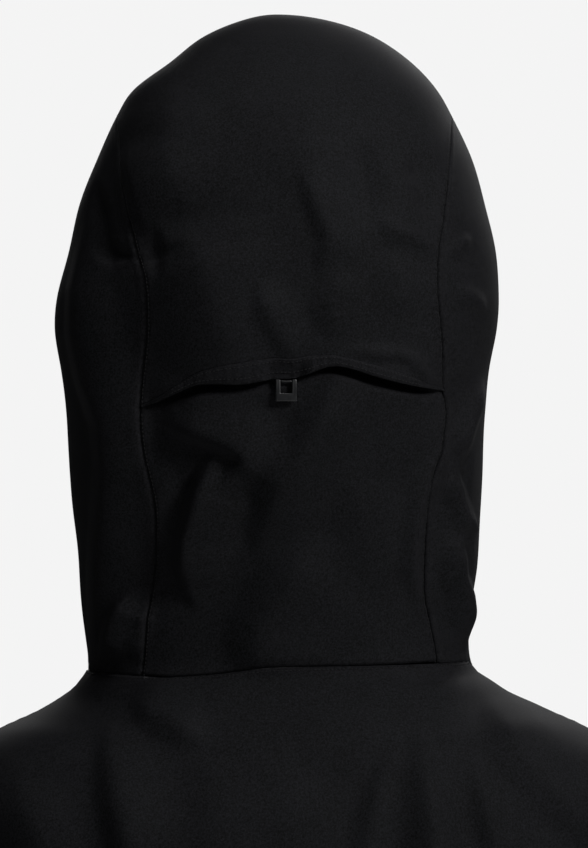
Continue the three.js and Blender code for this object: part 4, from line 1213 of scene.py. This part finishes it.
def arm_point(angle, run, sign, offset=0.0):
    """A place on a sleeve: angle round it from its outer edge, run down it."""
    run = np.asarray(run, float)
    past = np.maximum(run - ARM_RUN[-1], 0)
    ox, oz, ix, iz, deep, y = [np.interp(run, ARM_RUN, ARM_FINE[:, k]) for k in range(6)]
    mx, mz = (ox + ix) / 2 + past * ARM_DOWN[0], (oz + iz) / 2 + past * ARM_DOWN[1]
    hx, hz = (ox - ix) / 2, (oz - iz) / 2
    half = np.hypot(hx, hz)
    grow = (half + offset) / half
    x = mx + hx * grow * np.cos(angle)
    z = mz + hz * grow * np.cos(angle)
    return np.stack([sign * x, y + (deep + offset) * np.sin(angle), z], axis=-1)


def arm_folds(seed):
    """Ridges on a sleeve, in distance round it and down it: radiating at the top, across at the elbow and wrist."""
    rng = np.random.default_rng(seed)
    made = []
    for low, high, count, slant, height in ((60, 190, 7, 60, 3.2), (230, 330, 9, 22, 4.2), (340, 520, 9, 30, 3.2),
                                            (520, 590, 6, 12, 2.6)):
        for _ in range(count):
            v = rng.uniform(low, high)
            u = rng.uniform(-200, 200)
            reach = rng.uniform(45, 95)
            tilt = rng.normal(0, slant)
            bend = rng.normal(0, 9)
            path = [(u - reach / 2, v - tilt / 2), (u, v + bend), (u + reach / 2, v + tilt / 2)]
            made.append((path, rng.uniform(7, 16), rng.uniform(7, 16), height * rng.uniform(0.6, 1.2)))
    return made


def sleeve_surface(angle, run, sign, offset=0.0):
    """A sleeve's surface with its folds, moved outward by an offset."""
    plain = arm_point(angle, run, sign)
    out = arm_point(angle, run, sign, 1.0) - plain
    out /= np.maximum(np.linalg.norm(out, axis=-1, keepdims=True), 1e-9)
    seed = ARM_SEED[sign]
    u, v = angle * ARM_RADIUS, run
    lift = np.zeros(u.shape)
    for path, left, right, height in arm_folds(seed):
        for turn in (-ARM_GIRTH, 0, ARM_GIRTH):
            lift += fold(u + turn, v, path, left, right, height)
    lift += ripple(u, v, seed + 5, [(70, 0.6)])
    lift *= ease(30, 110, run) * ease(0, 26, ARM_RUN[-1] - run)
    return plain + out * (lift + offset)[..., None]


def sleeve_solid(name, sign, offset, past):
    """A closed solid of the sleeve's inside, to cut the armhole with."""
    run = np.concatenate([np.linspace(0, ARM_RUN[-1], 150), [ARM_RUN[-1] + past]])
    angle = np.linspace(-math.pi, math.pi, 112, endpoint=False)
    return loft_object(name, sleeve_surface(*np.meshgrid(angle, run), sign, offset))


def sleeve_panel(sign, first, last, count, seams):
    """A sleeve panel's grid between two angles."""
    angle = np.linspace(first, last, count + 1)
    points = sleeve_surface(*np.meshgrid(angle, np.linspace(0, ARM_RUN[-1], 150)), sign)
    points = points[::-1] if sign > 0 else points[::-1, ::-1]
    return with_seams(points, seams)


class JACKET_OT_sleeves(bpy.types.Operator):
    """Makes both sleeves, an outer and an under panel each, ended at the armholes"""

    bl_idname = "jacket.sleeves"
    bl_label = "Sleeves"

    def execute(self, context):
        core = body_core()
        lines = []
        for name, sign in SIDES:
            outer = sleeve_panel(sign, -ARM_SEAM, ARM_SEAM, 84, {"left": True, "right": True, "low": False})
            under = sleeve_panel(sign, ARM_SEAM, 2 * math.pi - ARM_SEAM, 60,
                                 {"left": False, "right": False, "low": False})
            lines += [line_beside(outer, edge, EDGE_STITCH)[:112] for edge in ("left", "right")]
            for points, label in ((outer, "outer"), (under, "under")):
                cloth = thicken(grid_object(f"sleeve_{label}_cloth_{name}", points), sizes().cloth)
                put(cut(cloth, [core]), "shell", [f"sleeve_{label}_{name}"])
        stitch("sleeve_stitches", lines)
        bpy.data.objects.remove(core)
        return {"FINISHED"}


# ---- Zips ----

def joint(name):
    for entry in frame["joints"]:
        if entry["name"] == name:
            return entry
    raise RuntimeError(f"the frame has no joint named {name}")


def zip_axes(prefix):
    """Where a zip's slider stands, and the directions across it, out of the cloth and up it."""
    slide, swing = joint(f"{prefix}_travel"), joint(f"{prefix}_pull_swing")
    up = -Vector(slide["axis"]).normalized()
    across = Vector(swing["axis"]).normalized()
    out = up.cross(across).normalized()
    return Vector(swing["pos_m"]), across, out, up


def oriented_box(name, centre, axes, half):
    """A block along three directions, given its half sizes in metres."""
    vertices = []
    for signs in ((a, b, c) for a in (-1, 1) for b in (-1, 1) for c in (-1, 1)):
        corner = centre.copy()
        for axis, sign, reach in zip(axes, signs, half):
            corner += axis * sign * reach
        vertices.append(np.array(corner) / MM)
    faces = [(0, 1, 3, 2), (4, 6, 7, 5), (0, 4, 5, 1), (2, 3, 7, 6), (0, 2, 6, 4), (1, 5, 7, 3)]
    obj = mesh_object(name, vertices, faces, smooth=False)
    outward(obj)
    return obj


def zip_slot(prefix):
    """The opening that a pocket zip needs in the front, from its strip's own size."""
    _, across, out, up = zip_axes(prefix)
    low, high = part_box(f"{prefix}_strip")
    centre = (low + high) / 2
    tall = (high.z - low.z) / 2
    return oriented_box(f"slot {prefix}", centre, (across, out, up), (0.0073, 0.014, tall + 0.0003))


def tooth_shape(width, tall, thick):
    """One turn of a coil zip: a rounded bar bent over at its inner end."""
    stations = ((-1, 0.1, 0.8), (-0.5, 0.55, 1.0), (0.3, 0.7, 1.0), (0.8, 0.6, 1.05), (1.0, 0.1, 0.9))
    rings = [[(0.78 * size * math.cos(angle), share * width / 2, rise * tall + thick * size * math.sin(angle))
              for angle in SIX_ANGLES] for share, rise, size in stations]
    return loft_object("tooth shape", rings)


def straight(start, end, step):
    """Points in millimetres from one place in metres to another."""
    start, end = np.array(start) / MM, np.array(end) / MM
    count = max(int(np.linalg.norm(end - start) / step), 2)
    return np.linspace(start, end, count + 1)


def tape_object(name, start, end, out, half_width, half_height):
    """A woven tape, straight from one end to the other."""
    line = straight(start, end, 3.0)
    return ribbon(name, line, half_width, half_height, np.repeat(np.array(out)[None, :], len(line), axis=0))


def build_main_zip():
    """Each half of the main zip: its tape and its coil."""
    _, _, out, _ = zip_axes("main_zip")
    for name, _ in SIDES:
        for kind, thick in (("tape", 0.0012), ("coil", 0.0008)):
            low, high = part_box(f"zip_{kind}_{name}")
            x = (low.x + high.x) / 2
            top, foot = Vector((x, low.y, high.z)), Vector((x, high.y, low.z))
            lean = (top - foot).normalized()
            start, end = foot - out * thick / 2 + lean * 0.0002, top + out * thick / 2 - lean * 0.0002
            if kind == "tape":
                made = tape_object(f"main_tape_{name}", start, end, out, 6.9, 0.55)
            else:
                made = repeated(f"main_coil_{name}", [straight(start + lean * 0.001, end, 4.0)],
                                tooth_shape(2.8, 0.12, 0.3), sizes().tooth, finish("Zip coil"), tuple(out))
            put(made, kind, [f"zip_{kind}_{name}"])


def build_pocket_zip(prefix):
    """A pocket zip's strip, of two tapes and two stops, and its teeth."""
    _, across, out, up = zip_axes(prefix)
    low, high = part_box(f"{prefix}_strip")
    middle = (low + high) / 2
    reach = (high.z - low.z) / 2 / up.z - 0.0004
    parts = []
    for sign in (-1, 1):
        edge = middle + across * sign * 0.0041
        parts.append(tape_object(f"{prefix} tape", edge - up * reach, edge + up * reach, out, 2.9, 0.6))
    for end in (-1, 1):
        stop = middle + up * end * (reach - 0.003)
        parts.append(tape_object(f"{prefix} stop", stop - across * 0.0065, stop + across * 0.0065, out, 2.6, 0.65))
    put(join(parts, f"{prefix}_tape"), "tape", [f"{prefix}_strip"])
    lines = []
    for sign in (-1, 1):
        row = middle + across * sign * 0.0019 + out * 0.0007
        lines.append(straight(row - up * (reach - 0.006), row + up * (reach - 0.006), 4.0))
    teeth = repeated(f"{prefix}_teeth", lines, tooth_shape(1.9, 0.4, 0.45), sizes().tooth, finish("Zip coil"),
                     tuple(out))
    put(teeth, "coil")


class JACKET_OT_zips(bpy.types.Operator):
    """Makes the main zip's tapes and coils and the pocket zips"""

    bl_idname = "jacket.zips"
    bl_label = "Zips"

    def execute(self, context):
        build_main_zip()
        for prefix in POCKET_ZIPS:
            build_pocket_zip(prefix)
        return {"FINISHED"}


# ---- Facings, cuffs, fittings ----

def rounded(obj, width, segments):
    """The object with its sharp edges rounded."""
    edges = obj.modifiers.new("Edges", "BEVEL")
    edges.width = width
    edges.segments = segments
    edges.limit_method = "ANGLE"
    edges.angle_limit = math.radians(28)
    applied(obj)
    obj.data.polygons.foreach_set("use_smooth", [True] * len(obj.data.polygons))
    obj.data.set_sharp_from_angle(angle=math.radians(40))
    return obj


def refined(node_name, name, bevel, slot, body=JACKET):
    """A carried-over piece with its edges rounded."""
    obj = link(name, frame["nodes"][node_name].data.copy())
    merge(obj, 0.00001)
    return put(rounded(obj, bevel, 2), slot, [node_name], body)


def softened(node_name, name, slot, body=JACKET):
    """A carried-over cloth piece, with its facets smoothed and its edges rounded."""
    return refined(node_name, name, 0.00035, slot, body)


class JACKET_OT_facings(bpy.types.Operator):
    """Makes the linings, flaps, brim, cuffs and tabs"""

    bl_idname = "jacket.facings"
    bl_label = "Facings and cuffs"

    def execute(self, context):
        hem = softened("hem_facing", "hem_facing_cloth", "lining")
        hem.data.transform(Matrix.Diagonal((HEM_TUCK, HEM_TUCK, 1, 1)))
        for node_name in ("face_binding", "chin_guard", "zip_storm_flap", "hang_loop",
                          "cuff_loop_pad_left", "cuff_loop_pad_right"):
            softened(node_name, f"{node_name}_cloth", "lining")
        for node_name, inward in (("hand_pocket_bag_left", 0), ("hand_pocket_bag_right", 0),
                                  ("chest_pocket_bag", CHEST_BAG_SHIFT)):
            bag = softened(node_name, f"{node_name}_cloth", "lining")
            bag.data.transform(Matrix.Translation((inward, -BAG_TUCK, 0)))
        softened("hood_brim", "hood_brim_cloth", "shell")
        for name, _ in SIDES:
            softened(f"cuff_{name}", f"cuff_cloth_{name}", "shell")
            softened(f"cuff_tab_{name}", f"cuff_tab_cloth_{name}", "tape", f"cuff_tab_{name}")
            softened(f"cuff_hook_pad_{name}", f"cuff_hook_cloth_{name}", "coil", f"cuff_tab_{name}")
        return {"FINISHED"}


def adjuster_tab():
    """The cord's tab: two legs and a deep foot moulded in one, with a thin pin across the top for the cord."""
    low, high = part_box("hood_adjuster_tab")
    low, high = np.array(low) / MM, np.array(high) / MM - np.array([0, 0, 0.7])
    leg, foot, pin = 2.7, 4.6, 0.6
    outline = [(low[0], high[2]), (low[0], low[2]), (high[0], low[2]), (high[0], high[2]),
               (high[0] - leg, high[2]), (high[0] - leg, low[2] + foot), (low[0] + leg, low[2] + foot),
               (low[0] + leg, high[2])]
    front = [(x, low[1], z) for x, z in outline]
    back = [(x, high[1], z) for x, z in outline]
    count = len(outline)
    faces = [tuple(range(count)), tuple(range(2 * count - 1, count - 1, -1))]
    faces += [(k, (k + 1) % count, count + (k + 1) % count, count + k) for k in range(count)]
    body = mesh_object("tab body", front + back, faces, smooth=False)
    outward(body)
    rounded(body, 0.00055, 3)
    rings = []
    for x in np.linspace(low[0] + leg - 0.6, high[0] - leg + 0.6, 5):
        rings.append([(x, (low[1] + high[1]) / 2 + 0.3 + pin * math.cos(a), high[2] - 1.1 + pin * math.sin(a))
                      for a in np.linspace(0, 2 * math.pi, 14, endpoint=False)])
    return join([body, loft_object("tab pin", rings)], "adjuster_tab_moulding")


class JACKET_OT_fittings(bpy.types.Operator):
    """Rounds the moulded and metal fittings and gives them their finishes"""

    bl_idname = "jacket.fittings"
    bl_label = "Fittings"

    def execute(self, context):
        put(adjuster_tab(), "plastic", ["hood_adjuster_tab"], "adjuster_tab")
        refined("hood_cord_lock", "cord_lock_moulding", 0.0004, "plastic")
        refined("hood_lock_button", "lock_button_metal", 0.0003, "metal", "lock_button")
        refined("zip_bottom_box", "zip_bottom_box_moulding", 0.0004, "plastic")
        for name, _ in SIDES:
            refined(f"hem_eyelet_{name}", f"hem_eyelet_ring_{name}", 0.0002, "metal")
        for prefix in ("main_zip", *POCKET_ZIPS):
            refined(f"{prefix}_slider", f"{prefix}_slider_metal", 0.0003, "metal", f"{prefix}_slider")
            refined(f"{prefix}_pull", f"{prefix}_pull_moulding", 0.0004, "plastic", f"{prefix}_pull")
        return {"FINISHED"}


# ---- Stage ----

LENS = 135
CAMERA_PLACE = (0.0094, -1.9287, 0.1461)
FLOOR = (2600, -800)                    # the floor's radius and height
BACKGROUND = 0.905                      # what the camera sees behind
AMBIENT = 0.025                         # the light from all round
# Each lamp: where it stands, what it faces, its width in metres and its power in watts.
LAMPS = {
    "Key": ((1.62, -1.62, 1.35), (0, -0.05, 0.1), 0.7, 41),
    "Top": ((0.05, -0.55, 2.3), (0, 0, 0), 1.2, 15),
    "Back fill": ((-0.5, -2.4, 0.9), (0, 0, 0.1), 1.2, 1.2),
    "Front right": ((0.9, 2.2, 1.5), (0, 0, -0.1), 1.2, 30),
    "Front left": ((-0.3, 2.4, 1.0), (0, 0, -0.1), 1.2, 14),
}


def lamp(name, place, aim, size, power):
    """A soft round lamp aimed at a place."""
    light = bpy.data.lights.new(name, "AREA")
    light.shape = "DISK"
    light.size = size
    light.energy = power
    obj = link(name, light)
    obj.location = place
    obj.rotation_euler = (Vector(aim) - Vector(place)).to_track_quat("-Z", "Y").to_euler()


class JACKET_OT_stage(bpy.types.Operator):
    """Sets up the camera, the pale floor, the background and the soft lights"""

    bl_idname = "jacket.stage"
    bl_label = "Stage"

    def execute(self, context):
        camera = bpy.data.cameras.new("Camera")
        camera.lens = LENS
        camera.sensor_width = 36
        camera.clip_end = 50
        view = link("Camera", camera)
        view.location = CAMERA_PLACE
        view.rotation_euler = (math.radians(90), 0, 0)
        bpy.context.scene.camera = view

        reach, height = FLOOR
        vertices = [(reach * math.cos(a), reach * math.sin(a), height)
                    for a in np.linspace(0, 2 * math.pi, 64, endpoint=False)]
        floor = mesh_object("floor", vertices, [tuple(range(64))], smooth=False)
        floor.data.materials.append(finish("Pale floor"))

        world = bpy.data.worlds.new("Studio")
        bpy.context.scene.world = world
        world.use_nodes = True
        tree = world.node_tree
        tree.nodes.clear()
        seen, lit = node(tree, "ShaderNodeBackground"), node(tree, "ShaderNodeBackground")
        seen.inputs["Color"].default_value = (BACKGROUND, BACKGROUND, BACKGROUND, 1)
        lit.inputs["Color"].default_value = (0.9, 0.93, 1.0, 1)
        lit.inputs["Strength"].default_value = AMBIENT
        rays, mix = node(tree, "ShaderNodeLightPath"), node(tree, "ShaderNodeMixShader")
        out = node(tree, "ShaderNodeOutputWorld")
        wire(tree, rays.outputs["Is Camera Ray"], mix.inputs["Fac"])
        wire(tree, lit.outputs["Background"], mix.inputs[1])
        wire(tree, seen.outputs["Background"], mix.inputs[2])
        wire(tree, mix.outputs["Shader"], out.inputs["Surface"])

        for name, settings in LAMPS.items():
            lamp(name, *settings)
        bpy.context.scene.view_settings.view_transform = "Standard"
        return {"FINISHED"}


class JACKET_PT_panel(bpy.types.Panel):
    """Lists the jacket's sizes, colours and steps"""

    bl_idname = "JACKET_PT_panel"
    bl_label = "Hardshell jacket"
    bl_space_type = "VIEW_3D"
    bl_region_type = "UI"
    bl_category = "Jacket"

    def draw(self, context):
        for label, group in (("Sizes", context.scene.jacket_sizes), ("Colours", context.scene.jacket_colours)):
            box = self.layout.box()
            box.label(text=label)
            for name in group.bl_rna.properties.keys():
                if name not in ("rna_type", "name"):
                    box.prop(group, name)
        for step in STEPS:
            self.layout.operator(step.bl_idname)


STEPS = (
    JACKET_OT_stage,
    JACKET_OT_hood,
    JACKET_OT_slit,
    JACKET_OT_body,
    JACKET_OT_sleeves,
    JACKET_OT_zips,
    JACKET_OT_facings,
    JACKET_OT_fittings,
)
CLASSES = (JacketSizes, JacketColours, *STEPS, JACKET_PT_panel)


def register():
    for cls in CLASSES:
        bpy.utils.register_class(cls)
    bpy.types.Scene.jacket_sizes = bpy.props.PointerProperty(type=JacketSizes)
    bpy.types.Scene.jacket_colours = bpy.props.PointerProperty(type=JacketColours)


def unregister():
    del bpy.types.Scene.jacket_colours
    del bpy.types.Scene.jacket_sizes
    for cls in reversed(CLASSES):
        bpy.utils.unregister_class(cls)


def main():
    """Registers the add-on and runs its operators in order."""
    register()
    weave_group()
    grain_group()
    for step in STEPS:
        group, name = step.bl_idname.split(".")
        getattr(getattr(bpy.ops, group), name)()


if __name__ == "__main__":
    main()
